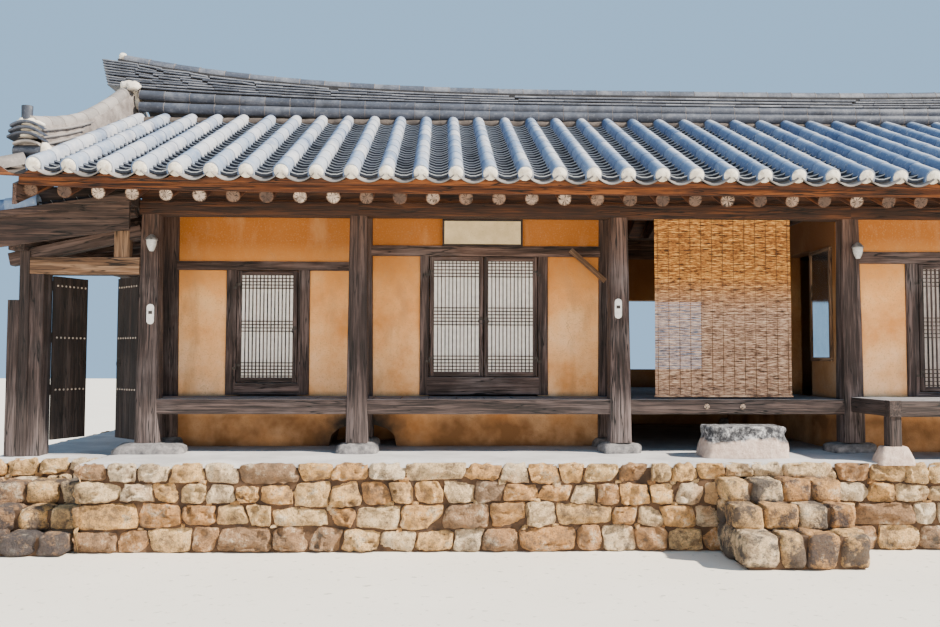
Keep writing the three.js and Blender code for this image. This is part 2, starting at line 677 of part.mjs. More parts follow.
function wall(x0, x1, line, z0, z1) {
  const panel = box(x0, x1, line - WALL_SETBACK, line + WALL_INNER, z0, z1);
  return cut(panel, timberSpaces);
}
const floorSeat = FLOOR_TOP + SEAT;
const wallEnd = 60 - SEAT; // a front wall stops at a cross wall's face
const leftEnd = COLUMN_X[0] - wallEnd;
const hallSideLeft = COLUMN_X[2] + wallEnd;
const [door1, door2, door4, door5] = [doors[1], doors[2], doors[4], doors[5]];

// The porch wall's lower pieces stand beside its doors, and the upper one runs over both.
// Their joint is level with each door's rail, and steps up behind the second column.
const upperJoint = [door1.rail[0] - SEAT, door2.rail[0] - SEAT];
const jointStep = COLUMN_X[1] + 140;
function porchUpper() {
  const line = PORCH_Y;
  const body = box(leftEnd, hallSideLeft, line - WALL_SETBACK, line + WALL_INNER, door1.rail[0], 3590);
  const overDoor2 = box(jointStep, hallSideLeft + 1, line - 200, line + 200, 2500, door2.rail[0]);
  const besideCrossWalls = [
    [leftEnd - 1, COLUMN_X[0] + WALL_INNER + SEAT],
    [COLUMN_X[2] - WALL_INNER - SEAT, hallSideLeft + 1],
  ].map(([x0, x1]) => box(x0, x1, line - 200, line + 200, CROSS_BEAM_TOP, 3700));
  return cut(body, [...timberSpaces, overDoor2, ...besideCrossWalls]);
}
add('porch_wall_over', porchUpper(), plaster);
function porchMiddle() {
  const end = door2.open[0] - 1;
  const low = wall(door1.open[1] + 1, end, PORCH_Y, floorSeat, upperJoint[0]);
  const besideDoor2 = wall(jointStep + SEAT, end, PORCH_Y, upperJoint[0] - 1, upperJoint[1]);
  return low.add(besideDoor2);
}
add('porch_wall_left', wall(leftEnd, door1.open[0] - 1, PORCH_Y, floorSeat, upperJoint[0]), plaster);
add('porch_wall_middle', porchMiddle(), plaster);
add('porch_wall_right', wall(door2.open[1] + 1, hallSideLeft, PORCH_Y, floorSeat, upperJoint[1]), plaster);

const hallSideRight = COLUMN_X[3] - wallEnd;
const rightEnd = COLUMN_X[5] + wallEnd;
const rightRail = door4.rail[0];
add('right_wall_over', wall(hallSideRight, rightEnd, FRONT_Y, rightRail, BEAM_BOTTOM - SEAT), plaster);
add('right_wall_left', wall(hallSideRight, door4.open[0] - 1, FRONT_Y, floorSeat, rightRail - SEAT), plaster);
const besideWindow = wall(door4.open[1] + 1, rightEnd, FRONT_Y, floorSeat, rightRail - SEAT);
const windowHole = box(door5.open[0] - 2, door5.open[1] + 2, FRONT_Y - 100, FRONT_Y + 300,
  door5.sill[1] - 2, rightRail + 1);
add('right_wall_right', besideWindow.subtract(windowHole), plaster);

// Back wall, with the hall's window cut through it
function backWall() {
  const ends = COLUMN_X[5] + wallEnd;
  const { left, right, bottom, top } = HALL_WINDOW;
  const faces = [BACK_Y - WALL_INNER + SEAT, BACK_Y + WALL_SETBACK];
  const body = box(-ends, ends, ...faces, PODIUM_TOP + SEAT, BEAM_BOTTOM - SEAT);
  const hole = box(left, right, BACK_Y - 300, BACK_Y + 300, bottom, top);
  const frameFaces = [BACK_Y - 50 - SEAT, BACK_Y + 90];
  const frame = join([
    box(COLUMN_X[2], COLUMN_X[3], ...frameFaces, bottom - RAIL - SEAT, bottom),
    box(COLUMN_X[2], COLUMN_X[3], ...frameFaces, top, top + RAIL + SEAT),
    box(left - RAIL - SEAT, right + RAIL + SEAT, ...frameFaces, bottom - RAIL, top + RAIL),
  ]);
  return cut(body, [...backSpaces, ...stoneSpaces, hole, frame]);
}
add('back_wall', backWall(), plaster);

// Cross walls: the two gables and the two walls beside the hall, up to the rafters
function crossWall(x, front, inward) {
  const back = BACK_Y - WALL_INNER;
  const under = (y) => rafterUnder(Math.abs(y)) - 4;
  const low = CROSS_BEAM_TOP + SEAT;
  const outline = [
    [front, floorSeat], [back, floorSeat], [back, low], [CROSS_END - 1, low], [CROSS_END - 1, under(CROSS_END)],
    [0, under(0)], [-CROSS_END + 1, under(CROSS_END)], [-CROSS_END + 1, low], [front, low],
  ];
  const faces = [x - inward * 60, x + inward * 140].sort((a, b) => a - b);
  return cut(prismX(outline, ...faces), timberSpaces);
}
const porchBack = PORCH_Y + WALL_INNER + SEAT;
const frontBack = FRONT_Y + WALL_INNER + SEAT;
add('gable_wall_left', crossWall(COLUMN_X[0], porchBack, 1), plaster);
add('hall_wall_left', crossWall(COLUMN_X[2], porchBack, -1), plaster);
const hallDoorway = box(COLUMN_X[3] - 100, COLUMN_X[3] + 200, -1110, -350, floorSeat - 1, 2820);
add('hall_wall_right', crossWall(COLUMN_X[3], frontBack, 1).subtract(hallDoorway), plaster);
add('gable_wall_right', crossWall(COLUMN_X[5], frontBack, -1), plaster);

// Fittings
const signBack = PORCH_Y - FRAME_PROUD - SEAT; // the board hangs on the face of the door's rail
add('signboard', box(-2836, -2011, signBack - 32, signBack, 2812, 3090), signPaint);
add('reed_blind', box(-775, 560, FRONT_Y - 8, FRONT_Y + 4, DECK_TOP + 22, BEAM_BOTTOM - SEAT), reed);
add('wall_mirror', box(COLUMN_X[3] - 60 - 30, COLUMN_X[3] - 60 - SEAT, -1640, -1140, 1640, 2790), mirrorGlass);

// Lean-to roof: its rafters run down to the left from the gable.
const LEAN_TO = { high: -5715, low: -7330, front: -2200, back: 2200, slope: 0.15, end: 2840 };
const LEAN_LOG = 50; // radius of its rafters
const LEAN_LOG_DEPTH = 45; // from the underside of its boards to a rafter's axis

// Heights at x of the lean-to's boards and of the undersides of its rafters
function leanLine(x) {
  return LEAN_TO.end + LEAN_TO.slope * (x - LEAN_TO.low);
}
function leanUnder(x) {
  return leanLine(x) - LEAN_LOG_DEPTH - LEAN_LOG * Math.hypot(1, LEAN_TO.slope);
}

// Gate bay: posts, jamb, lintel with the pivot rail behind it, stub post, sloping head beams,
// and the two plates on which the lean-to's rafters rest
const GATE_POST = { left: -6920, right: -6720 };
const JAMB = { left: -6722, right: -6600 };
const LINTEL = { bottom: 2448, top: 2609 };
const STUB_POST = { left: -5950, right: -5805, top: 2860 };
const PLATE_END = 2000;
const GATE_COLUMN_FACE = COLUMN_X[0] - 92;

function gateFrame() {
  const { left, right } = GATE_POST;
  const foot = GATE_FLOOR + SEAT;
  const plate = [left + 25, right - 25];
  const ledger = [GATE_COLUMN_FACE - 90, GATE_COLUMN_FACE - 4];
  const headBeam = [[left - 10, 2520], [GATE_COLUMN_FACE, 2800], [GATE_COLUMN_FACE, 2930], [left - 10, 2650]];
  return join([
    box(left, right, FRONT_Y - 90, FRONT_Y + 70, foot, 2662),
    box(left, right, BACK_Y - 90, BACK_Y + 70, foot, 2662),
    box(JAMB.left, JAMB.right, FRONT_Y - 70, FRONT_Y + 60, foot, LINTEL.bottom + 2),
    box(JAMB.left, GATE_COLUMN_FACE, FRONT_Y - 80, FRONT_Y + 40, LINTEL.bottom, LINTEL.top),
    box(JAMB.left, GATE_COLUMN_FACE, FRONT_Y + 38, FRONT_Y + 150, LINTEL.bottom, 2540),
    box(STUB_POST.left, STUB_POST.right, FRONT_Y - 70, FRONT_Y + 40, LINTEL.top - 2, STUB_POST.top),
    prismY(headBeam, FRONT_Y - 60, FRONT_Y + 60),
    prismY(headBeam, BACK_Y - 60, BACK_Y + 60),
    box(...plate, -PLATE_END, PLATE_END, 2660, leanUnder(plate[0]) - SEAT),
    box(...ledger, FRONT_Y + 40, BACK_Y - 40, 2880, leanUnder(ledger[0]) - SEAT),
  ]);
}
add('gate_frame', gateFrame(), paleTimber);

function leanSlab(bottom, top, x0, x1, y0, y1) {
  return prismY([
    [x0, leanLine(x0) + bottom], [x1, leanLine(x1) + bottom], [x1, leanLine(x1) + top], [x0, leanLine(x0) + top],
  ], y0, y1);
}

function leanRafters() {
  const { high, low, front, back } = LEAN_TO;
  const axis = (x, y) => [x, y, leanLine(x) - LEAN_LOG_DEPTH];
  const logs = spread(front + 260, back - 260, 10).map(
    (y) => bar(axis(low + 60, y), axis(high - 20, y), LEAN_LOG, 8),
  );
  return join([
    leanSlab(0, 25, low, high, front + 36, back - 36),
    leanSlab(-240, 25, low, high, front, front + 40),
    leanSlab(-240, 25, low, high, back - 40, back),
    ...logs,
  ]);
}
add('lean_to_rafters', leanRafters(), timber);
const leanBed = leanSlab(25 + SEAT, 90, LEAN_TO.low - 60, LEAN_TO.high, LEAN_TO.front - 20, LEAN_TO.back + 20);
add('lean_to_roof', leanBed, roofTile);

// Gate leaves, hung behind the posts by a pin in the pivot rail, and standing open as they rest
const GATE_TOP = LINTEL.bottom - 8;
const GATE_PIN = 12; // radius of the pin
const GATE_BOTTOM = 875;
const GATE_WIDTH = (COLUMN_X[0] - 105 - JAMB.right - 2 * LEAF_GAP - MEETING_GAP) / 2;
const GATE_HINGE_Y = FRONT_Y + 95;
const LEFT_LEAF_OPEN = 68;
const RIGHT_LEAF_OPEN = 45;

function gateLeaf(name, hingeX, side, open) {
  const planks = box(Math.min(0, side * GATE_WIDTH), Math.max(0, side * GATE_WIDTH), -GATE_LEAF, 0,
    GATE_BOTTOM, GATE_TOP);
  const pin = bar([0, 0, GATE_TOP - 4], [0, 0, LINTEL.bottom - SEAT], GATE_PIN, 8);
  const mesh = add(name, planks.add(pin), timber);
  mesh.position.set(hingeX, GATE_HINGE_Y, 0);
  mesh.rotation.z = side * THREE.MathUtils.degToRad(open);
}
gateLeaf('gate_leaf_left', JAMB.right + LEAF_GAP, 1, LEFT_LEAF_OPEN);
gateLeaf('gate_leaf_right', COLUMN_X[0] - 105 - LEAF_GAP, -1, RIGHT_LEAF_OPEN);

export default house;
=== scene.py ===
# %% [markdown]
# A hanok is a Korean house of timber, earth and tile. This lesson dresses a finished
# construction model of one. The model gives every piece its place and size, and each cell
# here adds what the eye expects up close: single tiles, grain, stones, lattice and plaster.

# %% Load the construction model
import math
from collections import namedtuple

import bmesh
import bpy
import numpy as np
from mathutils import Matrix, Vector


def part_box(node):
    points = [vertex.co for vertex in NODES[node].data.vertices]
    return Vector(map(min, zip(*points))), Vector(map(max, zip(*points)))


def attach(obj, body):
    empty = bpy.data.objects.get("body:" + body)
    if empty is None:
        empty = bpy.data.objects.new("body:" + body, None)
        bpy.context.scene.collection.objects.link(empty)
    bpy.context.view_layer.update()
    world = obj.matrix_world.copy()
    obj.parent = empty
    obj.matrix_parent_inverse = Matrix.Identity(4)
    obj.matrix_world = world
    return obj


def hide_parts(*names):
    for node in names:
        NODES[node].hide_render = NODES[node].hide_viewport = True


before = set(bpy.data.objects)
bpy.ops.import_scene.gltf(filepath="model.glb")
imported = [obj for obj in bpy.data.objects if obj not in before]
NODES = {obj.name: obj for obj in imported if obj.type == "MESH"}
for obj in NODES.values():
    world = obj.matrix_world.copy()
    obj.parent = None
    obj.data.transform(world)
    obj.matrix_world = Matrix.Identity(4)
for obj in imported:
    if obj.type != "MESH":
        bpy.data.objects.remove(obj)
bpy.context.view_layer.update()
chance = np.random.default_rng(41)

# %% [markdown]
# Everything new is a surface worked out with arrays. A shape holds its points, its four-sided
# faces, a grain coordinate that runs along the material, and a tone that tells one stone or
# tile from the next. Many shapes can be stacked into one and handed to Blender in one go.

# %% Shapes and how they become meshes
Shape = namedtuple("Shape", "points quads grain tone")
X_AXIS, Y_AXIS, Z_AXIS = np.eye(3)
TIMBER_STEP = 0.22
PLANED = dict(radius=0.004, wear=0.001)


def unit(vectors):
    """Each vector divided by its own length."""
    vectors = np.asarray(vectors, float)
    return vectors / np.linalg.norm(vectors, axis=-1, keepdims=True)


def points_at(x, y, z):
    """Points from three coordinates, any of which may be one number for all of them."""
    return np.stack(np.broadcast_arrays(x, y, z), -1)


def corners_of(node):
    """The lowest and the highest corner of a construction node's box, as arrays."""
    low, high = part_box(node)
    return np.array(low), np.array(high)


def strip_quads(rows, columns, closed=False):
    """Four-sided faces between neighbours on a grid of rows by columns, stored row after row.
    A closed grid also joins each row's last point to its first."""
    i, j = np.meshgrid(np.arange(rows - 1), np.arange(columns if closed else columns - 1), indexing="ij")
    k = (j + 1) % columns
    quads = np.stack([i * columns + j, i * columns + k, (i + 1) * columns + k, (i + 1) * columns + j], -1)
    return quads.reshape(-1, 4)


def stacked(shapes):
    """One shape that holds all the given ones, with each face list moved past the points before it."""
    starts = np.cumsum([0] + [len(s.points) for s in shapes[:-1]])
    quads = np.concatenate([s.quads + start for s, start in zip(shapes, starts)])
    return Shape(np.concatenate([s.points for s in shapes]), quads,
                 np.concatenate([s.grain for s in shapes]), np.concatenate([s.tone for s in shapes]))


def placed(points, quads, tone=0.5):
    """A shape of one tone, whose grain coordinate is its place in the house."""
    return Shape(points, quads, points.copy(), np.full(len(points), tone))


def bar_quads(rows):
    """Faces of a bar stored as rows of four points: its long sides and then its two ends."""
    last = np.arange(4 * rows - 4, 4 * rows)
    return np.concatenate([strip_quads(rows, 4, closed=True), [[3, 2, 1, 0], last]])


def signed_power(value, power):
    """The size of value raised to power, with the sign that value had."""
    return np.sign(value) * np.abs(value) ** power


def ripple(points, size, seed):
    """Smooth noise from -1 to 1: the mean of six sine waves of random direction, about size metres long."""
    waves = np.random.default_rng(seed)
    directions = unit(waves.normal(size=(6, 3))) * waves.uniform(0.7, 1.6, (6, 1)) * 2 * np.pi / size
    return np.sin(np.asarray(points) @ directions.T + waves.uniform(0, 6.28, 6)).mean(-1) * 1.8


def carried(profile, centres, sides, ups, scales=None, capped=True, tone=0.5):
    """A closed outline of (side, up) points carried along a path: each station's point is its
    centre plus side times the first number plus up times the second, times the station's scale."""
    profile, centres = np.asarray(profile, float), np.asarray(centres, float)
    rows, columns = len(centres), len(profile)
    scales = np.ones(rows) if scales is None else np.asarray(scales, float)
    sides, ups = (np.broadcast_to(np.asarray(v, float), centres.shape) for v in (sides, ups))
    flat = profile[None] * scales[:, None, None]
    points = centres[:, None] + flat[..., :1] * sides[:, None] + flat[..., 1:] * ups[:, None]
    along = np.concatenate([[0], np.cumsum(np.linalg.norm(np.diff(centres, axis=0), axis=1))])
    grain = np.stack([np.broadcast_to(along[:, None], flat.shape[:2]), flat[..., 0], flat[..., 1]], -1)
    quads = strip_quads(rows, columns, closed=True)
    if capped:
        j = np.arange(columns // 2 - 1)
        end = np.stack([j, j + 1, columns - 2 - j, columns - 1 - j], -1)
        quads = np.concatenate([quads, end[:, ::-1], end + (rows - 1) * columns])
    count = rows * columns
    offset = chance.uniform(-40, 40, 3) * [1, 0, 0]
    return Shape(points.reshape(-1, 3), quads, grain.reshape(-1, 3) + offset, np.full(count, float(tone)))


def rounded_outline(width, depth, radius, steps=2):
    """A rectangle with its corners rounded: four quarter circles, anticlockwise from the right."""
    turns = np.linspace(0, np.pi / 2, steps + 1)
    angles = np.concatenate([turns + k * np.pi / 2 for k in range(4)])
    signs = np.repeat([[1, 1], [-1, 1], [-1, -1], [1, -1]], steps + 1, axis=0)
    middle = signs * [width / 2 - radius, depth / 2 - radius]
    return middle + radius * np.stack([np.cos(angles), np.sin(angles)], -1)


def circle(radius, sides=16):
    """A circle of so many sides, anticlockwise."""
    angles = np.arange(sides) * 2 * np.pi / sides
    return radius * np.stack([np.cos(angles), np.sin(angles)], -1)


def path_frame(start, end, up):
    """Direction from start to end, the side vector, and up made square to both."""
    direction = unit(np.subtract(end, start))
    side = unit(np.cross(up, direction))
    return direction, side, np.cross(direction, side)


def piece_of_timber(start, end, width, depth, up=Z_AXIS, radius=0.01, taper=1.0, wear=0.003, tone=None):
    """A squared timber with softened edges: a rounded rectangle carried from start to end, its
    points moved in and out by smooth noise, as an adze and the weather leave them."""
    _, side, upward = path_frame(start, end, up)
    length = np.linalg.norm(np.subtract(end, start))
    share = np.linspace(0, 1, max(3, int(length / TIMBER_STEP) + 1))
    centres = np.outer(1 - share, start) + np.outer(share, end)
    tone = chance.uniform() if tone is None else tone
    outline = rounded_outline(width, depth, radius)
    shape = carried(outline, centres, side, upward, 1 + (taper - 1) * share, tone=tone)
    seed = int(chance.integers(1 << 30))
    inward = np.repeat(centres, len(outline), axis=0) - shape.points
    moved = shape.points + unit(inward) * (wear * (0.6 + 0.6 * ripple(shape.points, 0.45, seed)))[:, None]
    return shape._replace(points=moved)


def upright(x, y, low, high, width, depth, **details):
    """A vertical timber at (x, y)."""
    return piece_of_timber((x, y, low), (x, y, high), width, depth, up=Y_AXIS, **details)


def plank(x0, x1, y0, y1, z0, z1, along, **details):
    """A timber that fills a box, with its grain along the axis 0, 1 or 2."""
    low, high = np.array([x0, y0, z0]), np.array([x1, y1, z1])
    start, end = (low + high) / 2, (low + high) / 2
    start[along], end[along] = low[along], high[along]
    up = Y_AXIS if along == 2 else Z_AXIS
    size = high - low
    width = size[[1, 0, 0][along]]
    depth = size[[2, 2, 1][along]]
    return piece_of_timber(start, end, width, depth, up=up, **details)


def make(name, shapes, finish, body="house", replaces=(), crease=40):
    """Hands one shape or a list of them to Blender as a mesh, closes seams and poles, and fixes
    it to a body."""
    shape = stacked(shapes) if isinstance(shapes, list) else shapes
    mesh = bpy.data.meshes.new(name)
    mesh.from_pydata(shape.points, [], shape.quads.tolist())
    mesh.attributes.new("grain", "FLOAT_VECTOR", "POINT").data.foreach_set("vector", shape.grain.ravel())
    mesh.attributes.new("tone", "FLOAT", "POINT").data.foreach_set("value", shape.tone)
    work = bmesh.new()
    work.from_mesh(mesh)
    bmesh.ops.remove_doubles(work, verts=work.verts, dist=1e-6)
    work.to_mesh(mesh)
    work.free()
    mesh.polygons.foreach_set("use_smooth", np.ones(len(mesh.polygons), bool))
    mesh.set_sharp_from_angle(angle=math.radians(crease))
    mesh.materials.append(finish)
    piece = bpy.data.objects.new(name, mesh)
    bpy.context.scene.collection.objects.link(piece)
    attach(piece, body)
    if replaces:
        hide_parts(*replaces)
    print(f"{name}: {len(mesh.polygons)} faces")
    return piece

# %% [markdown]
# Finishes are built from noise, so no picture is needed. A small helper adds shader nodes and
# links them. It keeps every finish down to a few lines that say what the surface is made of.

# %% A helper for finishes
class Finish:
    """A material with one Principled shader, and short ways to add nodes to it."""

    def __init__(self, name, roughness=0.85, metallic=0.0):
        self.material = bpy.data.materials.new(name)
        self.material.use_nodes = True
        self.tree = self.material.node_tree
        self.shader = self.tree.nodes["Principled BSDF"]
        self.shader.inputs["Roughness"].default_value = roughness
        self.shader.inputs["Metallic"].default_value = metallic

    def put(self, kind, inputs=(), **settings):
        """Adds a node. A socket given as an input is linked, and a number is set."""
        node = self.tree.nodes.new("ShaderNode" + kind)
        for key, value in settings.items():
            setattr(node, key, value)
        for key, value in dict(inputs).items():
            if isinstance(value, bpy.types.NodeSocket):
                self.tree.links.new(value, node.inputs[key])
            else:
                node.inputs[key].default_value = value
        return node

    def place(self, stretch=(1, 1, 1)):
        """Object coordinates times stretch."""
        source = self.put("TexCoord").outputs["Object"]
        return self.put("Mapping", {"Vector": source, "Scale": stretch}).outputs["Vector"]

    def grain(self, stretch=(1, 1, 1)):
        """The piece's own grain coordinate times stretch."""
        source = self.put("Attribute", attribute_name="grain").outputs["Vector"]
        return self.put("Mapping", {"Vector": source, "Scale": stretch}).outputs["Vector"]

    def tone(self):
        """The number that tells one piece from the next."""
        return self.put("Attribute", attribute_name="tone").outputs["Fac"]

    def noise(self, place, scale, detail=4.0, roughness=0.55):
        """Cloudy noise from 0 to 1."""
        inputs = {"Vector": place, "Scale": scale, "Detail": detail, "Roughness": roughness}
        return self.put("TexNoise", inputs).outputs["Fac"]

    def part(self, vector, axis):
        """The X, Y or Z of a vector."""
        return self.put("SeparateXYZ", {"Vector": vector}).outputs[axis]

    def height(self):
        """Height above the ground, in metres."""
        return self.part(self.put("TexCoord").outputs["Object"], "Z")

    def fade(self, value, low, high):
        """0 below low, 1 above high, and straight between."""
        inputs = {"Value": value, "From Min": low, "From Max": high}
        return self.put("MapRange", inputs).outputs["Result"]

    def sum(self, a, b, kind="ADD"):
        """Two numbers added, multiplied or otherwise put together."""
        return self.put("Math", {0: a, 1: b}, operation=kind).outputs["Value"]

    def times(self, a, b):
        """Two numbers multiplied."""
        return self.sum(a, b, "MULTIPLY")

    def ramp(self, value, *stops):
        """Colours blended along value: each stop is (place, colour)."""
        node = self.put("ValToRGB", {"Fac": value})
        elements = node.color_ramp.elements
        while len(elements) < len(stops):
            elements.new(0.5)
        for element, (place, colour) in zip(elements, stops):
            element.position = place
            element.color = (*colour, 1)
        return node.outputs["Color"]

    def mix(self, factor, a, b, blend="MIX"):
        """Colour a turning to colour b as factor goes from 0 to 1."""
        node = self.put("Mix", data_type="RGBA", blend_type=blend)
        for index, value in ((0, factor), (6, a), (7, b)):
            if isinstance(value, bpy.types.NodeSocket):
                self.tree.links.new(value, node.inputs[index])
            else:
                node.inputs[index].default_value = value if index == 0 else (*value, 1)
        return node.outputs[2]

    def tint(self, body, value, low, high, amount, colour):
        """Body turned towards a colour, by up to amount as value goes from low to high."""
        return self.mix(self.times(self.fade(value, low, high), amount), body, colour)

    def colour(self, socket):
        """Sets the surface colour."""
        self.tree.links.new(socket, self.shader.inputs["Base Color"])
        return self

    def bump(self, socket, strength, distance):
        """Raises the surface by a number, and hands over the finished material."""
        inputs = {"Height": socket, "Strength": strength, "Distance": distance}
        self.tree.links.new(self.put("Bump", inputs).outputs["Normal"], self.shader.inputs["Normal"])
        return self.material

# %% [markdown]
# Old pine turns dark and silvery at once. Broad streaks run with the grain, fine fibres lie in
# them, and the sun opens thin dark checks. The feet of the posts bleach first, because rain
# reaches them, while wood high under the eaves is painted a warm dark brown: painted shade,
# warmed as if by light thrown up from the ground. Feet and rain wear every upper face pale.

# %% Timber finishes
def timber(name, dark, middle, light, bleached, along=None, feet=(0.75, 1.5), warm=0.5):
    """Noises drawn out along the grain: streaks pick the colour, fibres darken and lighten it,
    and a check is wherever a third noise passes through its middle value."""
    f = Finish(name, roughness=0.85)

    def drawn(length, width):
        if along is None:
            return f.grain((length, width, width))
        return f.place([length if k == along else width for k in range(3)])

    streaks = f.noise(drawn(1.1, 19), 1.0, detail=7, roughness=0.68)
    fibres = f.noise(drawn(3.0, 75), 1.0, detail=3)
    split = f.sum(f.sum(f.noise(drawn(0.8, 15), 1.0, detail=3), -0.5), 0.0, "ABSOLUTE")
    patches = f.noise(f.place(), 1.7, detail=4)
    wood = f.ramp(streaks, (0.36, dark), (0.5, middle), (0.63, light))
    low = f.fade(f.height(), feet[1], feet[0])
    normal = f.part(f.put("NewGeometry").outputs["Normal"], "Z")
    weather = f.sum(f.times(low, 0.75), f.fade(patches, 0.5, 0.72))
    wood = f.mix(f.times(weather, f.fade(streaks, 0.3, 0.62)), wood, bleached)
    # Painted shade: from 2.45 m up, the wood is turned by up to warm towards a warm dark brown, the warm
    # shade under the eaves painted in.
    high = f.times(f.fade(f.height(), 2.45, 3.05), warm)
    wood = f.mix(high, wood, f.mix(f.fade(streaks, 0.34, 0.66), (0.035, 0.013, 0.006), (0.2, 0.085, 0.036)))
    wood = f.tint(wood, fibres, 0.52, 0.36, 0.75, [0.5 * c for c in dark])
    wood = f.tint(wood, fibres, 0.56, 0.7, 0.45, light)
    if along is None:
        wood = f.mix(f.fade(f.tone(), 0.15, 1.8), wood, dark)
    checks = f.times(f.fade(split, 0.016, 0.004), f.fade(patches, 0.36, 0.5))
    wood = f.mix(checks, wood, [0.2 * c for c in dark])
    f.colour(f.tint(wood, normal, 0.5, 0.9, 0.65, (0.33, 0.325, 0.34)))
    relief = f.sum(f.sum(streaks, f.times(fibres, 0.6)), f.times(checks, -0.8))
    return f.bump(relief, 0.9, 0.01)


OLD_PINE = [(0.013, 0.007, 0.006), (0.042, 0.025, 0.022), (0.138, 0.094, 0.086), (0.172, 0.14, 0.14)]
old_timber = timber("old timber", *OLD_PINE)
old_timber_x, old_timber_y = (timber(f"old timber {'xyz'[k]}", *OLD_PINE, along=k) for k in (0, 1))
deck_timber = timber("deck timber", (0.011, 0.006, 0.005), (0.036, 0.021, 0.018), (0.125, 0.083, 0.072),
                     (0.11, 0.084, 0.082))
dark_timber = timber("dark timber", (0.005, 0.003, 0.003), (0.014, 0.008, 0.007), (0.046, 0.03, 0.026),
                     (0.066, 0.05, 0.047), warm=0.0)
beam_timber = timber("beam timber", (0.008, 0.002, 0.0006), (0.034, 0.009, 0.0015), (0.105, 0.032, 0.006),
                     (0.046, 0.015, 0.005), warm=0.1)
lean_timber = timber("lean-to timber", (0.01, 0.005, 0.004), (0.034, 0.017, 0.012), (0.095, 0.054, 0.04),
                     (0.07, 0.045, 0.036), along=0, warm=0.0)
EAVE_PINE = [(0.022, 0.005, 0.001), (0.084, 0.021, 0.003), (0.235, 0.072, 0.014), (0.11, 0.038, 0.011)]
eave_timber = timber("eave timber", *EAVE_PINE, along=0, warm=0.0)
rafter_timber = timber("rafter timber", *EAVE_PINE, warm=0.0)
pale_timber = timber("pale timber", (0.07, 0.034, 0.016), (0.2, 0.108, 0.056), (0.37, 0.228, 0.136),
                     (0.28, 0.2, 0.14), warm=0.0)
print("timber finishes", len(bpy.data.materials))

# %% [markdown]
# A sawn end shows where each log was cut. Rings go round the pith, drying opens cracks that
# run out from it like spokes, and dirt settles unevenly. Each log has its own tone.

# %% End grain
def end_grain():
    """Spokes are noise over the angle round the pith. Rings are a sine of the distance from it."""
    f = Finish("end grain", roughness=0.9)
    where = f.grain((0, 1, 1))
    parts = f.put("SeparateXYZ", {"Vector": where})
    distance = f.put("VectorMath", {0: where}, operation="LENGTH").outputs["Value"]
    angle = f.sum(parts.outputs["Y"], parts.outputs["Z"], "ARCTAN2")
    fan = f.put("CombineXYZ", {"X": f.times(angle, 2.4), "Y": f.times(distance, 14.0),
                               "Z": f.times(f.tone(), 37.0)}).outputs["Vector"]
    spokes = f.noise(fan, 1.6, detail=4)
    bent = f.sum(distance, f.times(f.noise(where, 30.0), 0.008))
    rings = f.sum(f.times(bent, 700.0), 0.0, "SINE")
    wood = f.ramp(f.tone(), (0.1, (0.06, 0.036, 0.03)), (0.35, (0.26, 0.165, 0.115)),
                  (0.9, (0.7, 0.57, 0.46)))
    wood = f.tint(wood, rings, -1.0, 1.6, 0.45, (0.14, 0.085, 0.055))
    dirt = f.noise(f.place(), 16.0, detail=5)
    wood = f.tint(wood, dirt, 0.46, 0.66, 0.75, (0.1, 0.066, 0.05))
    wood = f.tint(wood, distance, 0.044, 0.057, 0.75, (0.12, 0.06, 0.032))
    f.colour(f.mix(f.fade(spokes, 0.47, 0.41), wood, (0.025, 0.016, 0.012)))
    return f.bump(f.sum(rings, f.fade(spokes, 0.34, 0.4)), 0.5, 0.003)


sawn_ends = end_grain()

# %% [markdown]
# Field stones come in tan, orange and grey, so the tone of each stone picks its colour. Fine
# speckles are the crystals, dark patches are lichen, and the earth mortar between is dull brown.

# %% Stone, mortar and lime finishes
def field_stone_finish(name, stained):
    """Colour picked by the stone's tone, then mottled. Stained stones carry more dark lichen."""
    f = Finish(name, roughness=0.93)
    where = f.place()
    body = f.ramp(f.tone(), (0.0, (0.33, 0.22, 0.14)), (0.2, (0.72, 0.35, 0.115)),
                  (0.42, (0.98, 0.56, 0.2)), (0.7, (0.98, 0.64, 0.29)), (1.0, (0.96, 0.77, 0.53)))
    mottle = f.noise(where, 8.0, detail=9, roughness=0.72)
    body = f.tint(body, mottle, 0.54, 0.38, 0.85, (0.2, 0.125, 0.07))
    body = f.tint(body, mottle, 0.54, 0.66, 0.7, (0.98, 0.85, 0.64))
    rust = f.noise(where, 3.1, detail=5)
    body = f.tint(body, rust, 0.56, 0.7, 0.55, (0.62, 0.31, 0.12))
    speckle = f.noise(where, 85.0, detail=3)
    body = f.tint(body, speckle, 0.57, 0.68, 0.8, (0.12, 0.088, 0.064))
    damp = f.fade(f.height(), 0.34, 0.02)
    lichen = f.sum(f.noise(where, 4.5, detail=8, roughness=0.74), f.times(damp, 0.06))
    body = f.tint(body, lichen, 0.59 - stained, 0.68 - stained, 0.85,
                  (0.085 - 0.4 * stained, 0.074 - 0.3 * stained, 0.062 - 0.1 * stained))
    f.colour(body)
    grit = f.noise(where, 30.0, detail=7, roughness=0.75)
    relief = f.sum(f.sum(mottle, grit), f.times(speckle, 0.25))
    return f.bump(relief, 1.0, 0.08)


def mottled(name, light, dark, scale, grit, depth, roughness=0.93, metallic=0.0):
    """Two colours mottled by noise, with grit of its own scale raised on it."""
    f = Finish(name, roughness, metallic)
    where = f.place()
    cloud = f.noise(where, scale, detail=7, roughness=0.65)
    body = f.mix(f.fade(cloud, 0.36, 0.64), dark, light)
    f.colour(f.mix(f.fade(f.noise(where, grit), 0.62, 0.72), body, [0.6 * c for c in dark]))
    return f.bump(f.sum(cloud, f.noise(where, grit, detail=5)), 0.6, depth)


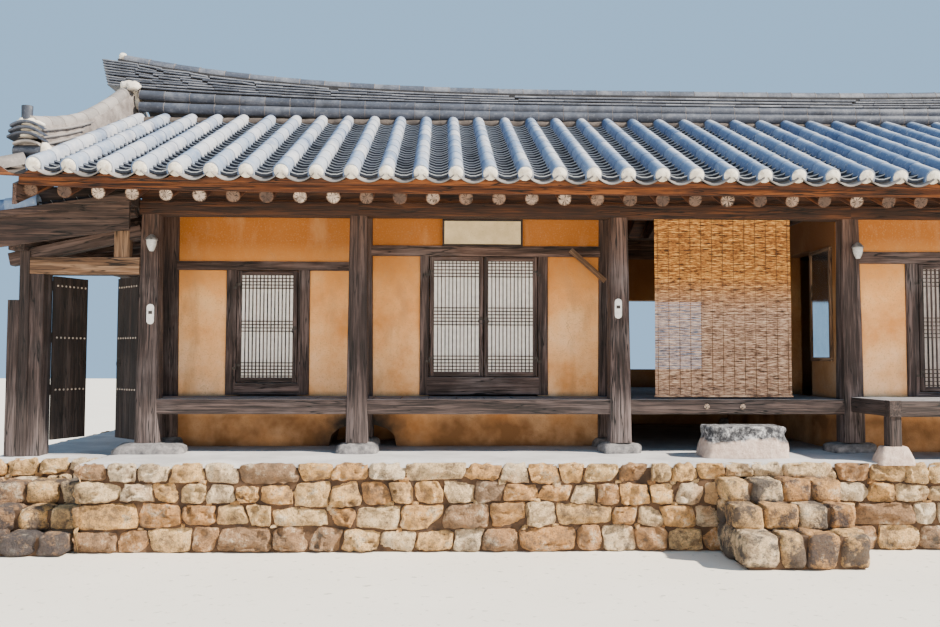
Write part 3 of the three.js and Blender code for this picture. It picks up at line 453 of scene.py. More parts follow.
field_stone = field_stone_finish("field stone", 0.0)
step_stone = field_stone_finish("step stone", 0.115)
mortar = mottled("earth mortar", (0.105, 0.056, 0.026), (0.03, 0.016, 0.009), 8.0, 70.0, 0.01)
lime_top = mottled("lime surface", (0.61, 0.595, 0.59), (0.42, 0.41, 0.41), 2.2, 60.0, 0.006)
smeared_lime = mottled("smeared lime", (0.275, 0.242, 0.222), (0.13, 0.108, 0.098), 6.0, 50.0, 0.014)
base_granite = mottled("base stone", (0.3, 0.285, 0.285), (0.1, 0.098, 0.104), 14.0, 90.0, 0.045)
lime_white = mottled("white lime", (0.87, 0.83, 0.74), (0.54, 0.48, 0.39), 16.0, 80.0, 0.008)


def lichened_granite():
    """Pink granite below, and a grey crust of lichen above a wavy line at mid height."""
    f = Finish("stepping stone", roughness=0.94)
    where = f.place()
    cloud = f.noise(where, 16.0, detail=9, roughness=0.74)
    pink = f.mix(f.fade(cloud, 0.38, 0.62), (0.47, 0.34, 0.28), (0.68, 0.54, 0.46))
    crust = f.ramp(cloud, (0.42, (0.022, 0.023, 0.028)), (0.52, (0.15, 0.152, 0.165)),
                   (0.62, (0.56, 0.56, 0.57)))
    line = f.sum(f.height(), f.times(f.noise(where, 6.0), 0.14))
    f.colour(f.mix(f.fade(line, 0.97, 1.0), pink, crust))
    return f.bump(cloud, 1.0, 0.03)


stepping_granite = lichened_granite()
print("stone finishes ready")

# %% [markdown]
# Earth plaster is ochre, a little uneven, and cracks finely as it dries. Up under the eaves it
# is painted a deep dark orange as painted shade, and lower down it is painted paler as painted
# light. Near the bottom it is darker, partly from rain splashes and partly as painted shade
# under the deck, and soot blackens it round the mouth of the fire hole. Indoors, the walls of
# the hall are painted brown as painted shade.

# %% Plaster
def earth_plaster(name, fire=None, indoor_shade=0.0):
    """Two ochres clouded by noise, painted paler lower down as painted light and deep orange near
    the top as painted shade, hair cracks from cell borders, and soot where a fire is. The hall's
    copy is painted browner as shade wherever it is indoors, in front of the back wall's middle."""
    f = Finish(name, roughness=0.94)
    where = f.place()
    cloud = f.noise(where, 1.7, detail=8, roughness=0.62)
    body = f.ramp(cloud, (0.34, (0.62, 0.235, 0.045)), (0.5, (0.76, 0.33, 0.08)), (0.68, (0.83, 0.45, 0.17)))
    # Painted light: from 2.55 m down to 1.45 m the wall turns paler where the clouds allow, as if lit more
    # below the eave's shade.
    pale = f.times(f.fade(f.height(), 2.55, 1.45), f.fade(cloud, 0.3, 0.62))
    body = f.mix(f.times(pale, 0.75), body, (0.86, 0.6, 0.39))
    # Painted shade: from 2.3 m up to 2.85 m the wall turns a deep dark orange, the eave's shade painted in.
    body = f.tint(body, f.height(), 2.3, 2.85, 0.9, (0.275, 0.08, 0.004))
    grit = f.noise(where, 70.0, detail=4)
    body = f.tint(body, grit, 0.56, 0.7, 0.6, (0.42, 0.22, 0.085))
    stain = f.noise(f.place((1.3, 1.3, 0.45)), 2.4, detail=6, roughness=0.66)
    body = f.tint(body, stain, 0.52, 0.68, 0.6, (0.45, 0.22, 0.085))
    warped = f.put("VectorMath", {0: where, 1: f.put("TexNoise", {"Vector": where, "Scale": 5.0})
                   .outputs["Color"]}, operation="ADD").outputs["Vector"]
    cells = f.put("TexVoronoi", {"Vector": warped, "Scale": 1.1}, feature="DISTANCE_TO_EDGE")
    hair = f.times(f.fade(cells.outputs["Distance"], 0.006, 0.0), f.fade(cloud, 0.45, 0.6))
    body = f.mix(f.times(hair, 0.5), body, (0.33, 0.17, 0.07))
    # Darker below 1.3 m: partly rain splash, and partly painted shade under the deck.
    splash_and_shade = f.times(f.fade(f.height(), 1.3, 1.05), f.noise(where, 2.2, detail=4))
    body = f.mix(f.times(splash_and_shade, 1.65), body, (0.15, 0.07, 0.024))
    if fire is not None:
        away = f.put("VectorMath", {0: where, 1: fire}, operation="DISTANCE").outputs["Value"]
        reach = f.sum(away, f.times(f.noise(where, 6.0), 0.35))
        body = f.mix(f.fade(reach, 0.66, 0.42), body, (0.012, 0.01, 0.009))
    # Painted shade: indoors, in front of the back wall's middle, the wall is turned brown by the given
    # amount.
    f.colour(f.tint(body, f.part(where, "Y"), 1.86, 1.81, indoor_shade, (0.04, 0.02, 0.01)))
    relief = f.sum(grit, f.times(hair, -1.5))
    return f.bump(f.sum(f.times(cloud, 0.6), relief), 0.5, 0.007)


FIRE_MOUTH = (-3.64, -1.26, 0.8)
plaster = earth_plaster("earth plaster")
sooty_plaster = earth_plaster("sooty plaster", FIRE_MOUTH)
hall_plaster = earth_plaster("hall plaster", indoor_shade=0.62)

# %% [markdown]
# Kiln smoke leaves fired clay tiles blue-grey. Old ones bleach to a pale grey, and every tile
# has a slightly different tone. The dark blue on the cover tiles' flanks and the near black of
# the troughs are painted shade. Rain runs down them, so the blotches are drawn out along the
# slope.

# %% Tile finishes
def fired_tile(name, dark, middle, light, roughness=0.6, dusty=0.4):
    """The tile's tone sets its shade, and blotches of lime and moss break it up."""
    f = Finish(name, roughness=roughness)
    where = f.place()
    blotches = f.noise(where, 7.0, detail=8, roughness=0.72)
    shade = f.sum(f.times(f.tone(), 0.62), f.times(blotches, 0.42))
    body = f.ramp(shade, (0.12, dark), (0.5, middle), (0.84, light))
    soot = f.noise(f.place((1, 0.5, 1)), 3.3, detail=6)
    body = f.tint(body, soot, 0.55, 0.7, 0.55, dark)
    dust = f.noise(where, 30.0, detail=5, roughness=0.7)
    specks = f.times(f.fade(dust, 0.54, 0.72), dusty)
    f.colour(f.mix(specks, body, [min(1.3 * c, 0.9) for c in light]))
    return f.bump(f.sum(blotches, f.times(dust, 0.5)), 0.5, 0.008)


# The dark, saturated blue end of this ramp is painted shade, and the left flanks of the cover tiles take it.
cover_tile = fired_tile("cover tile", (0.018, 0.058, 0.16), (0.15, 0.22, 0.345), (0.58, 0.568, 0.57),
                        dusty=0.3)
# Painted shade and highlight: the near-black end is the shade between the cover rows, painted in, and the
# pale end is the painted highlight on each trough's rim.
trough_tile = fired_tile("trough tile", (0.004, 0.008, 0.018), (0.012, 0.023, 0.05), (0.4, 0.44, 0.49),
                         roughness=0.7, dusty=0.06)
ridge_tile = fired_tile("ridge tile", (0.01, 0.013, 0.022), (0.05, 0.06, 0.086), (0.33, 0.34, 0.37),
                        dusty=0.2)
ridge_shade = mottled("ridge shade", (0.03, 0.03, 0.034), (0.012, 0.012, 0.014), 12.0, 60.0, 0.006)
verge_tile = fired_tile("verge tile", (0.05, 0.046, 0.046), (0.15, 0.136, 0.13), (0.33, 0.298, 0.275))
roof_clay = mottled("roof clay", (0.12, 0.095, 0.08), (0.045, 0.036, 0.032), 9.0, 60.0, 0.01)
print("tile finishes ready")

# %% [markdown]
# The small things need finishes too: paper behind the lattice, split reed, painted board,
# wrought iron, zinc and silvered glass.

# %% Small finishes
def lattice_paper():
    """Fibres show as faint clouds in mulberry paper, drawn out in every direction alike."""
    f = Finish("mulberry paper", roughness=0.88)
    cloud = f.noise(f.place(), 22.0, detail=6)
    body = f.ramp(cloud, (0.35, (0.78, 0.77, 0.76)), (0.65, (0.93, 0.92, 0.9)))
    f.colour(f.tint(body, f.height(), 1.75, 1.35, 0.3, (0.42, 0.42, 0.44)))
    return f.bump(cloud, 0.3, 0.002)


def split_reed():
    """Each slat has its tone, dashes run along it, and the sun has greyed the lower half."""
    f = Finish("split reed", roughness=0.75)
    dash = f.noise(f.grain((9, 40, 40)), 1.0, detail=5, roughness=0.7)
    shade = f.sum(f.times(f.tone(), 0.3), f.times(f.fade(dash, 0.34, 0.68), 0.62))
    warm = f.ramp(shade, (0.25, (0.03, 0.009, 0.002)), (0.45, (0.4, 0.15, 0.025)),
                  (0.66, (0.88, 0.49, 0.13)))
    grey = f.ramp(shade, (0.25, (0.04, 0.02, 0.012)), (0.45, (0.35, 0.21, 0.14)), (0.66, (0.74, 0.54, 0.38)))
    f.colour(f.mix(f.fade(f.height(), 2.45, 2.1), warm, grey))
    return f.bump(dash, 0.5, 0.003)


paper = lattice_paper()
shaded_paper = mottled("shaded paper", (0.48, 0.44, 0.42), (0.36, 0.325, 0.31), 20.0, 160.0, 0.001)
reed = split_reed()
thread = mottled("blind thread", (0.17, 0.09, 0.045), (0.08, 0.042, 0.022), 30.0, 300.0, 0.001)
sign_cream = mottled("sign paint", (0.7, 0.56, 0.33), (0.52, 0.4, 0.22), 5.0, 90.0, 0.001, 0.6)
wrought_iron = mottled("wrought iron", (0.055, 0.048, 0.045), (0.026, 0.022, 0.02), 40.0, 180.0, 0.002, 0.55,
                       metallic=0.7)
worn_iron = mottled("worn iron", (0.5, 0.44, 0.38), (0.24, 0.2, 0.17), 60.0, 180.0, 0.002, 0.5)
zinc = mottled("zinc", (0.46, 0.46, 0.455), (0.19, 0.19, 0.19), 26.0, 160.0, 0.001, 0.42, metallic=0.6)
lamp_glass = mottled("lamp glass", (0.56, 0.56, 0.54), (0.34, 0.345, 0.34), 34.0, 200.0, 0.0005, 0.12)
enamel = mottled("white enamel", (0.78, 0.78, 0.77), (0.56, 0.56, 0.55), 18.0, 220.0, 0.0005, 0.35)
silvered = mottled("silvered glass", (0.66, 0.69, 0.7), (0.56, 0.59, 0.6), 3.0, 90.0, 0.0001, 0.06,
                   metallic=0.95)
print("finishes", len(bpy.data.materials))

# %% [markdown]
# Nodes that stay as they are get their finish first, so that nothing is left plain.

# %% Finishes for the construction nodes that show as they are
def dress(names, finish):
    """Gives each named node one finish."""
    for name in names:
        NODES[name].data.materials.clear()
        NODES[name].data.materials.append(finish)


walls = [name for name in NODES if "wall" in name and name != "wall_mirror"]
dress(NODES, old_timber_x)
dress(walls + ["heated_floor_right"], plaster)
dress(["heated_floor_left"], sooty_plaster)
dress(["back_wall", "hall_wall_left", "hall_wall_right"], hall_plaster)
dress(["rafters_front", "rafters_back"], eave_timber)
dress(["roof_frame", "bargeboards_left", "bargeboards_right"], old_timber_y)
dress(["roof_bed"], roof_clay)
dress(["lean_to_roof", "lean_to_rafters"], lean_timber)
print("walls", len(walls))

# %% [markdown]
# The podium is masonry of split field stones in four courses. Each stone fills a slanting
# four-sided cell between two wavy course lines, so neighbours fit each other. Its face is the
# lowest of three tilted planes under a rounded rim, as a mason's hammer leaves it.

# %% Stones of the podium
def split_stone(corners, outward, bulge, tone, seed, rows=12, columns=13):
    """A patch over (u, v) from -1 to 1: u and v pulled in towards the corners, then spread
    between the four corners. It rises by one minus the sixth powers, cut off by three planes."""
    draw = np.random.default_rng(seed)
    u, v = np.meshgrid(np.linspace(-1, 1, columns), np.linspace(-1, 1, rows))
    u, v = np.sin(u * np.pi / 2), np.sin(v * np.pi / 2)
    pull = draw.uniform(0.02, 0.17, 2)
    a, b = u * (1 - pull[0] * v ** 4), v * (1 - pull[1] * u ** 4)
    shares = np.stack([(1 - a) * (1 - b), (1 + a) * (1 - b), (1 + a) * (1 + b), (1 - a) * (1 + b)], -1) / 4
    flat = shares @ np.asarray(corners)
    rise = ((1 - u ** 6) * (1 - v ** 6)).clip(0) ** 0.36
    for _ in range(3):
        tilt = draw.normal(size=2) * 0.42
        rise = np.minimum(rise, draw.uniform(0.72, 1.05) + tilt[0] * a + tilt[1] * b)
    rise = rise.clip(0, 1.2) * bulge
    points = (flat + rise[..., None] * outward).reshape(-1, 3)
    inside = (rise / bulge).ravel()[:, None]
    along = np.cross(Z_AXIS, outward)
    rough = 0.34 * ripple(points, 0.11, seed) - 0.5 * np.abs(ripple(points, 0.05, seed + 1))
    points = points + rough[:, None] * bulge * inside * outward
    points = points + 0.011 * ripple(points, 0.13, seed + 2)[:, None] * along
    points = points + 0.008 * ripple(points, 0.1, seed + 3)[:, None] * Z_AXIS
    return placed(points, strip_quads(rows, columns), tone)


COURSE_SHARES = np.array([0, 0.27, 0.53, 0.78, 1.0])
STONE_DEPTH = 0.072


def stone_wall(start, along, outward, length, top, seed):
    """Courses of stones from start, with widths drawn by chance, slanting joints, and small
    chinking stones where four corners leave room."""
    draw = np.random.default_rng(seed)
    start, along, outward = (np.asarray(v, float) for v in (start, along, outward))
    courses = len(COURSE_SHARES) - 1

    def line(k, s):
        """Height of course line k at s along the wall: level at the foot and at the top."""
        wave = 0.02 * np.sin(2.1 * s + 1.7 * k + seed) + 0.012 * np.sin(5.3 * s + 2.9 * k)
        return top * COURSE_SHARES[k] + (wave if 0 < k < courses else 0)

    shapes = []
    for k in range(courses):
        cuts = [0.0]
        while cuts[-1] < length - 0.2:
            widths = [draw.uniform(0.2, 0.32), draw.uniform(0.32, 0.56)]
            cuts.append(cuts[-1] + draw.choice(widths, p=[0.7, 0.3]))
        cuts = np.array(cuts) * length / cuts[-1]
        slant = np.concatenate([[0], draw.uniform(-0.028, 0.028, len(cuts) - 2), [0]])
        for j, (s0, s1) in enumerate(zip(cuts[:-1], cuts[1:])):
            gap = draw.uniform(0.003, 0.009)
            spots = [(s0 - slant[j] + gap, k, gap), (s1 - slant[j + 1] - gap, k, gap),
                     (s1 + slant[j + 1] - gap, k + 1, -gap), (s0 + slant[j] + gap, k + 1, -gap)]
            corners = [start + along * s + Z_AXIS * (line(c, s) + lift_by) - outward * 0.012
                       for s, c, lift_by in spots]
            lowest = k == 0 and draw.uniform() < 0.6
            tone = draw.uniform(0.0, 0.16) if lowest or draw.uniform() < 0.1 else draw.uniform(0.2, 1.0)
            shapes.append(split_stone(corners, outward, STONE_DEPTH * draw.uniform(0.8, 1.25), tone,
                                      int(draw.integers(1 << 30))))
            if draw.uniform() < 0.35 and 0 < j and 0 < k:
                size = draw.uniform(0.022, 0.042)
                middle = start + along * (s0 + draw.uniform(-0.02, 0.02))
                middle = middle + Z_AXIS * line(k, s0) - outward * 0.01
                chink = [middle + along * x * size + Z_AXIS * z * size * 0.7
                         for x, z in ((-1, -1), (1, -1), (1, 1), (-1, 1))]
                shapes.append(split_stone(chink, outward, STONE_DEPTH * 0.5, draw.uniform(0.2, 0.9),
                                          int(draw.integers(1 << 30)), 5, 5))
    return shapes


podium_low, podium_high = corners_of("podium")
gate_floor_low, gate_floor_high = corners_of("gate_floor")
PODIUM_TOP = 0.766
GATE_FLOOR = float(gate_floor_high[2])
PODIUM_LEFT = float(podium_low[0])
GATE_FRONT = float(gate_floor_low[1])
FACE_DEPTH = 0.05
right, front, back, left = podium_high[0], podium_low[1], podium_high[1], gate_floor_low[0]
high_course, low_course = PODIUM_TOP - 0.004, GATE_FLOOR - 0.004

FACES = [
    ((PODIUM_LEFT, front + FACE_DEPTH, 0), X_AXIS, -Y_AXIS, right - PODIUM_LEFT, high_course, 3),
    ((right - FACE_DEPTH, front, 0), Y_AXIS, X_AXIS, back - front, high_course, 5),
    ((right, back - FACE_DEPTH, 0), -X_AXIS, Y_AXIS, right - left, low_course, 7),
    ((left + FACE_DEPTH, back, 0), -Y_AXIS, -X_AXIS, back - GATE_FRONT, low_course, 9),
    ((PODIUM_LEFT + FACE_DEPTH, GATE_FRONT, 0), -Y_AXIS, -X_AXIS, GATE_FRONT - front, high_course, 11),
    ((left, GATE_FRONT + FACE_DEPTH, 0), X_AXIS, -Y_AXIS, PODIUM_LEFT - left, low_course, 13),
]
masonry = [stone for face in FACES for stone in stone_wall(*face)]
make("podium_stones", masonry, field_stone, crease=60)

# %% [markdown]
# Behind the stones lies the mortar, and on top a crust of lime and earth that feet have worn.
# The crust is a grid whose height follows smooth noise by a few millimetres. It stops just
# short of the edge, where the tops of the stones show.

# %% Mortar core and lime crust
def block(x0, x1, y0, y1, z0, z1, tone=0.5):
    """A plain box: a four-sided outline carried upwards."""
    outline = [(x1, y1), (x0, y1), (x0, y0), (x1, y0)]
    return carried(outline, [(0, 0, z0), (0, 0, z1)], X_AXIS, Y_AXIS, tone=tone)


CRUST_CELL, CRUST_INSET = 0.12, 0.035


def crust(x0, x1, y0, y1, top, thickness=0.04, seed=1):
    """A thin slab with a grid on top, lifted by noise and pulled in at its wavy rim."""
    columns, rows = max(8, int((x1 - x0) / CRUST_CELL)), max(6, int((y1 - y0) / CRUST_CELL))
    x, y = np.meshgrid(np.linspace(x0, x1, columns), np.linspace(y0, y1, rows))
    rim = np.minimum(np.minimum(x - x0, x1 - x), np.minimum(y - y0, y1 - y))
    points = points_at(x, y, top)
    wave = ripple(points, 0.5, seed)
    points[..., 2] += 0.004 * wave - 0.012 * np.exp(-rim / 0.05)
    inward = points_at(np.sign(x0 + x1 - 2 * x), np.sign(y0 + y1 - 2 * y), 0)
    edge = (rim < 1e-6)[..., None]
    points += np.where(edge, inward * (0.004 + 0.014 * (1 + wave))[..., None], 0)
    skirt = points.copy()
    skirt[..., 2] -= thickness
    border = np.concatenate([np.arange(columns), np.arange(1, rows) * columns + columns - 1,
                             (rows - 1) * columns + np.arange(columns - 2, -1, -1),
                             np.arange(rows - 2, 0, -1) * columns])
    following = np.roll(border, -1)
    count = rows * columns
    sides = np.stack([border + count, following + count, following, border], -1)
    flat = np.concatenate([points.reshape(-1, 3), skirt.reshape(-1, 3)])
    quads = np.concatenate([strip_quads(rows, columns), sides])
    used = np.unique(quads)
    renumber = np.zeros(len(flat), int)
    renumber[used] = np.arange(len(used))
    return placed(flat[used], renumber[quads])


inset = FACE_DEPTH + 0.01
core = [block(PODIUM_LEFT + inset, right - inset, front + inset, back - inset, 0.0, PODIUM_TOP - 0.03),
        block(left + inset, PODIUM_LEFT + 0.1, GATE_FRONT + inset, back - inset, 0.0, GATE_FLOOR - 0.03)]
make("podium_core", core, mortar, replaces=["podium", "gate_floor"])
tops = [crust(PODIUM_LEFT + CRUST_INSET, right - CRUST_INSET, front + CRUST_INSET, back - CRUST_INSET,
              PODIUM_TOP, seed=21),
        crust(left + CRUST_INSET, PODIUM_LEFT + 0.05, GATE_FRONT + CRUST_INSET, back - CRUST_INSET,
              GATE_FLOOR, seed=22)]
make("podium_top", tops, lime_top)

# %% [markdown]
# Loose stones are closed all round. A superellipsoid goes from ball to brick as one power
# shrinks, and noise dents it, so the same formula gives steps and base stones.

# %% Steps, base stones and the stepping stone
def boulder(centre, half, seed, power=0.42, dent=0.05, tone=None, rows=9, columns=14):
    """A superellipsoid over latitude and longitude: cosines and sines raised to power keep
    their sign, and the radius is dented by smooth noise of three sizes."""
    latitude = np.linspace(-np.pi / 2, np.pi / 2, rows)[:, None]
    longitude = (np.arange(columns) * 2 * np.pi / columns)[None]
    girth = signed_power(np.cos(latitude), power)
    unit_shape = points_at(girth * signed_power(np.cos(longitude), power),
                           girth * signed_power(np.sin(longitude), power),
                           signed_power(np.sin(latitude), power)).reshape(-1, 3)
    points = unit_shape * np.asarray(half)
    size = float(np.min(half))
    moved = points + seed % 97
    dents = (ripple(moved, 2.2 * size, seed) - 0.5 * np.abs(ripple(moved, 0.9 * size, seed + 1))
             - 0.5 * np.abs(ripple(moved, 0.4 * size, seed + 2)))
    points = points * (1 + dent * dents)[:, None] + centre
    tone = chance.uniform() if tone is None else tone
    return placed(points, strip_quads(rows, columns, closed=True), tone)


STEP_STONE_DEPTH, SIDE_STONE_WIDTH = 0.34, 0.26


def step_stones(node, tops_and_fronts, back_edge, seed):
    """Stones side by side along the front of each step, and more of them along both sides of
    the flight back to the podium, round a core of mortar."""
    draw = np.random.default_rng(seed)
    low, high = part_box(node)
    shapes, floor = [], 0.0

    def add_stone(x0, x1, y0, y1, z0, z1):
        middle = ((x0 + x1) / 2, (y0 + y1) / 2, (z0 + z1) / 2)
        half = ((x1 - x0) / 2 - 0.002, (y1 - y0) / 2 - 0.002, (z1 - z0) / 2 * draw.uniform(0.95, 1.02))
        shapes.append(boulder(middle, half, int(draw.integers(1 << 30)), draw.uniform(0.26, 0.42), 0.095,
                              draw.uniform(0.0, 0.9), 21, 32))

    for top, face in sorted(tops_and_fronts):
        cuts = [0.0]
        while cuts[-1] < high.x - low.x - 0.14:
            cuts.append(cuts[-1] + draw.uniform(0.2, 0.32))
        cuts = low.x + np.array(cuts) * (high.x - low.x) / cuts[-1]
        bottom = max(floor - 0.03, 0.0)
        for x0, x1 in zip(cuts[:-1], cuts[1:]):
            add_stone(x0, x1, face + draw.uniform(0, 0.02), face + STEP_STONE_DEPTH, bottom, top)
        count = max(1, int(round((back_edge - face - STEP_STONE_DEPTH) / 0.3)))
        ys = np.linspace(face + STEP_STONE_DEPTH, back_edge, count + 1)
        for y0, y1 in zip(ys[:-1], ys[1:]):
            if y1 - y0 > 0.04:
                add_stone(low.x, low.x + SIDE_STONE_WIDTH, y0, y1, bottom, top)
                add_stone(high.x - SIDE_STONE_WIDTH, high.x, y0, y1, bottom, top)
        floor = top
    cores = [block(low.x + 0.05, high.x - 0.05, face + 0.06, back_edge, 0.0, top - 0.035)
             for top, face in tops_and_fronts]
    make(f"{node}_fill", cores, mortar, replaces=[node])
    return shapes


FLIGHTS = {"front": ([(0.645, -2.96), (0.47, -3.2), (0.29, -3.45)], -2.7, 31),
           "gate": ([(0.555, -2.3), (0.37, -2.57), (0.185, -2.84)], -2.04, 33)}
for name, flight in FLIGHTS.items():
    make(f"{name}_step_stones", step_stones(f"{name}_steps", *flight), step_stone, crease=60)

COLUMN_X = [-5.61, -3.64, -1.13, 1.13, 3.64, 5.61]
FRONT_Y, PORCH_Y, BACK_Y = -1.85, -1.2, 1.85
base_places = ([(-5.6, FRONT_Y - 0.02, 0.34, 0.19), (-3.64, FRONT_Y, 0.205, 0.185),
                (-1.13, FRONT_Y, 0.2, 0.18), (1.13, FRONT_Y + 0.02, 0.225, 0.185),
                (3.64, FRONT_Y, 0.205, 0.185), (5.61, FRONT_Y, 0.225, 0.185)]
               + [(x, PORCH_Y, 0.17, 0.16) for x in COLUMN_X[:3]]
               + [(x, BACK_Y, 0.19, 0.18) for x in COLUMN_X])
COLUMN_FOOT = 0.862
bases = [boulder((x, y, PODIUM_TOP - 0.02), (hx, hy, COLUMN_FOOT - PODIUM_TOP + 0.022), 60 + k, 0.5, 0.09,
                 rows=15, columns=32) for k, (x, y, hx, hy) in enumerate(base_places)]
make("base_stones", bases, base_granite, crease=60)


def flared_stone(x, y, seed):
    """A cut stone wider at its foot than under the post, carried upwards with a rounded outline."""
    heights = np.array([-0.03, 0.02, 0.08, 0.122, 0.13])
    widths = np.array([0.165, 0.16, 0.13, 0.112, 0.1])
    centres = points_at(x, y, PODIUM_TOP + heights)
    shape = carried(rounded_outline(2.0, 1.2, 0.25, 3), centres, X_AXIS, Y_AXIS, widths)
    dents = 0.006 * ripple(shape.points, 0.12, seed)
    return shape._replace(points=shape.points + dents[:, None] * [1, 1, 0])


SHORT_POSTS = [1.15, 2.66, 4.17, 5.555]
SHORT_POST_Y = -2.628
flared = [flared_stone(x, SHORT_POST_Y, 80 + k) for k, x in enumerate(SHORT_POSTS)]
make("post_stones", flared, stepping_granite, crease=75)


def stepping_stone():
    """A rough block that narrows upwards: a superellipse carried up and dented by noise."""
    low, high = corners_of("stepping_stone")
    share = np.array([0, 0.06, 0.2, 0.36, 0.5, 0.62, 0.74, 0.86, 0.95, 0.99, 1.0])
    scales = np.array([1.0, 0.995, 0.965, 0.935, 0.905, 0.885, 0.88, 0.878, 0.872, 0.85, 0.8])
    middle = (low + high) / 2
    centres = points_at(middle[0], middle[1], low[2] + share * (high - low)[2])
    turn = np.linspace(0, 2 * np.pi, 48, endpoint=False)
    corners = signed_power(np.stack([np.cos(turn), np.sin(turn)], -1), 0.3)
    outline = corners * (high - low)[:2] / 2
    shape = carried(outline, centres, X_AXIS, Y_AXIS, scales)
    dent = (0.014 * ripple(shape.points, 0.16, 90) + 0.01 * ripple(shape.points, 0.06, 91)
            - 0.008 * np.abs(ripple(shape.points, 0.03, 92)))
    outward = unit(shape.points - middle + 1e-9) * [1, 1, 0.35]
    return shape._replace(points=shape.points + dent[:, None] * outward)


make("stepping_block", stepping_stone(), stepping_granite, replaces=["stepping_stone"],
     crease=50)

# %% [markdown]
# Now the timber. Each post and beam takes the place of its construction node. The edges are
# softened and slightly wavy, which is what makes old hand-hewn timber read as real.

# %% Columns, beam and purlin
BEAM_BOTTOM, BEAM_TOP = 3.02, 3.15
FOOT, HEAD = 0.21, 0.168
BEAM_REACH, PORCH_PLATE_BOTTOM = 5.705, 3.102
PURLIN_RADIUS = 0.074


def column(x, y, top, tone):
    """A square post that narrows from its foot to its head."""
    return upright(x, y, COLUMN_FOOT, top, FOOT, FOOT, radius=0.018, taper=HEAD / FOOT, wear=0.004,
                   tone=tone)


for k, (x, tone) in enumerate(zip(COLUMN_X, [0.35, 0.6, 0.2, 0.3, 0.5, 0.4])):
    make(f"column_{k + 1}", column(x, FRONT_Y, BEAM_BOTTOM, tone), old_timber,
         replaces=[f"front_column_{k + 1}"])

beam_low, beam_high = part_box("front_beam")
purlin_z = beam_high.z - 0.075
joints = [-BEAM_REACH, *COLUMN_X[1:-1], BEAM_REACH]
beam_parts = [plank(a - 0.002, b + 0.002, FRONT_Y - 0.095, FRONT_Y + 0.095, BEAM_BOTTOM, BEAM_TOP, 0)
              for a, b in zip(joints[:-1], joints[1:])]
beam_parts.append(plank(-BEAM_REACH, BEAM_REACH, FRONT_Y - 0.04, FRONT_Y + 0.04, BEAM_TOP - 0.01,
                        purlin_z, 0))
purlin_path = points_at(np.linspace(beam_low.x, beam_high.x, 40), FRONT_Y, purlin_z)
beam_parts.append(carried(circle(PURLIN_RADIUS, 18), purlin_path, -Y_AXIS, Z_AXIS))
make("beam_and_purlin", beam_parts, beam_timber, replaces=["front_beam"])

porch_parts = [column(x, PORCH_Y, BEAM_TOP, 0.6) for x in COLUMN_X[:3]]
porch_parts.append(plank(-5.53, -1.21, PORCH_Y - 0.062, PORCH_Y + 0.06, PORCH_PLATE_BOTTOM, BEAM_TOP, 0))
make("porch_posts", porch_parts, old_timber, replaces=["porch_frame"])

# %% [markdown]
# The eaves show forty-five round rafters from below, sawn off square. The logs are not true
# cylinders: the radius breathes along each one. Their ends get the rings of end grain.

# %% Rafters
RAFTER_REACH, RAFTER_COUNT, RAFTER_RADIUS = 6.43, 45, 0.058
RAFTER_END = (2.6, 3.078)
RAFTER_STATIONS, RAFTER_TOP_Y = 7, 0.05
SLOPE = 0.4327
EAVE_RISE, BED_REACH, EAVE_Y = 0.06, 6.64, 2.8
BED_EDGE_Y, BED_EDGE_TOP = 2.76, 3.187
LIFT_X = np.array([0, 3.0, 4.2, 5.0, 5.6, 6.1, 6.49, BED_REACH, 6.7])


def lift(x, distance):
    """How much the roof climbs towards the gables: a sixth power of x taken straight from one
    station to the next, in proportion to the distance from the ridge."""
    return np.interp(np.abs(x), LIFT_X, EAVE_RISE * (LIFT_X / BED_REACH) ** 6) * distance / EAVE_Y


def bed_top(distance):
    """Height of the clay bed: a straight slope up from the eave."""
    return BED_EDGE_TOP + SLOPE * (BED_EDGE_Y - distance)


def rafter_logs(side):
    """Round logs from the eave up to the ridge, each with its own small changes of radius."""
    logs, ends = [], []
    for x in np.linspace(-RAFTER_REACH, RAFTER_REACH, RAFTER_COUNT):
        share = np.linspace(0, 1, RAFTER_STATIONS)
        distance = RAFTER_END[0] + 0.004 + share * (RAFTER_TOP_Y - RAFTER_END[0])
        z = RAFTER_END[1] + SLOPE * (RAFTER_END[0] - distance) + lift(x, distance)
        centres = points_at(x, side * distance, z)
        direction, across, upward = path_frame(centres[0], centres[1], Z_AXIS)
        scales = 1.06 + chance.uniform(-0.035, 0.035, RAFTER_STATIONS)
        tone = chance.uniform()
        logs.append(carried(circle(RAFTER_RADIUS, 14), centres, across, upward, scales, tone=tone))
        disc_at = np.array([centres[0] - direction * 0.002, centres[0] + direction * 0.004])
        disc = circle(RAFTER_RADIUS * 0.985, 16) * (1 + 0.03 * chance.uniform(-1, 1, (16, 1)))
        rings = carried(disc, disc_at, across, upward, scales[:2], tone=tone)
        ends.append(rings._replace(grain=rings.grain * [0, 1, 1]))
    return logs, ends


for side, label in ((-1, "front"), (1, "back")):
    logs, ends = rafter_logs(side)
    make(f"rafter_logs_{label}", logs, rafter_timber)
    make(f"rafter_ends_{label}", ends, sawn_ends)

# %% [markdown]
# The roof is laid with two kinds of tile. Trough tiles overlap by two thirds and make little
# steps, and a cover tile straddles each joint between two troughs. One unit of each kind is
# worked out once, then every copy is placed with one array of upper and lower ends. The flank
# of a cover tile that faces left is painted darker and bluer, a painted shade for the side away
# from the sun.

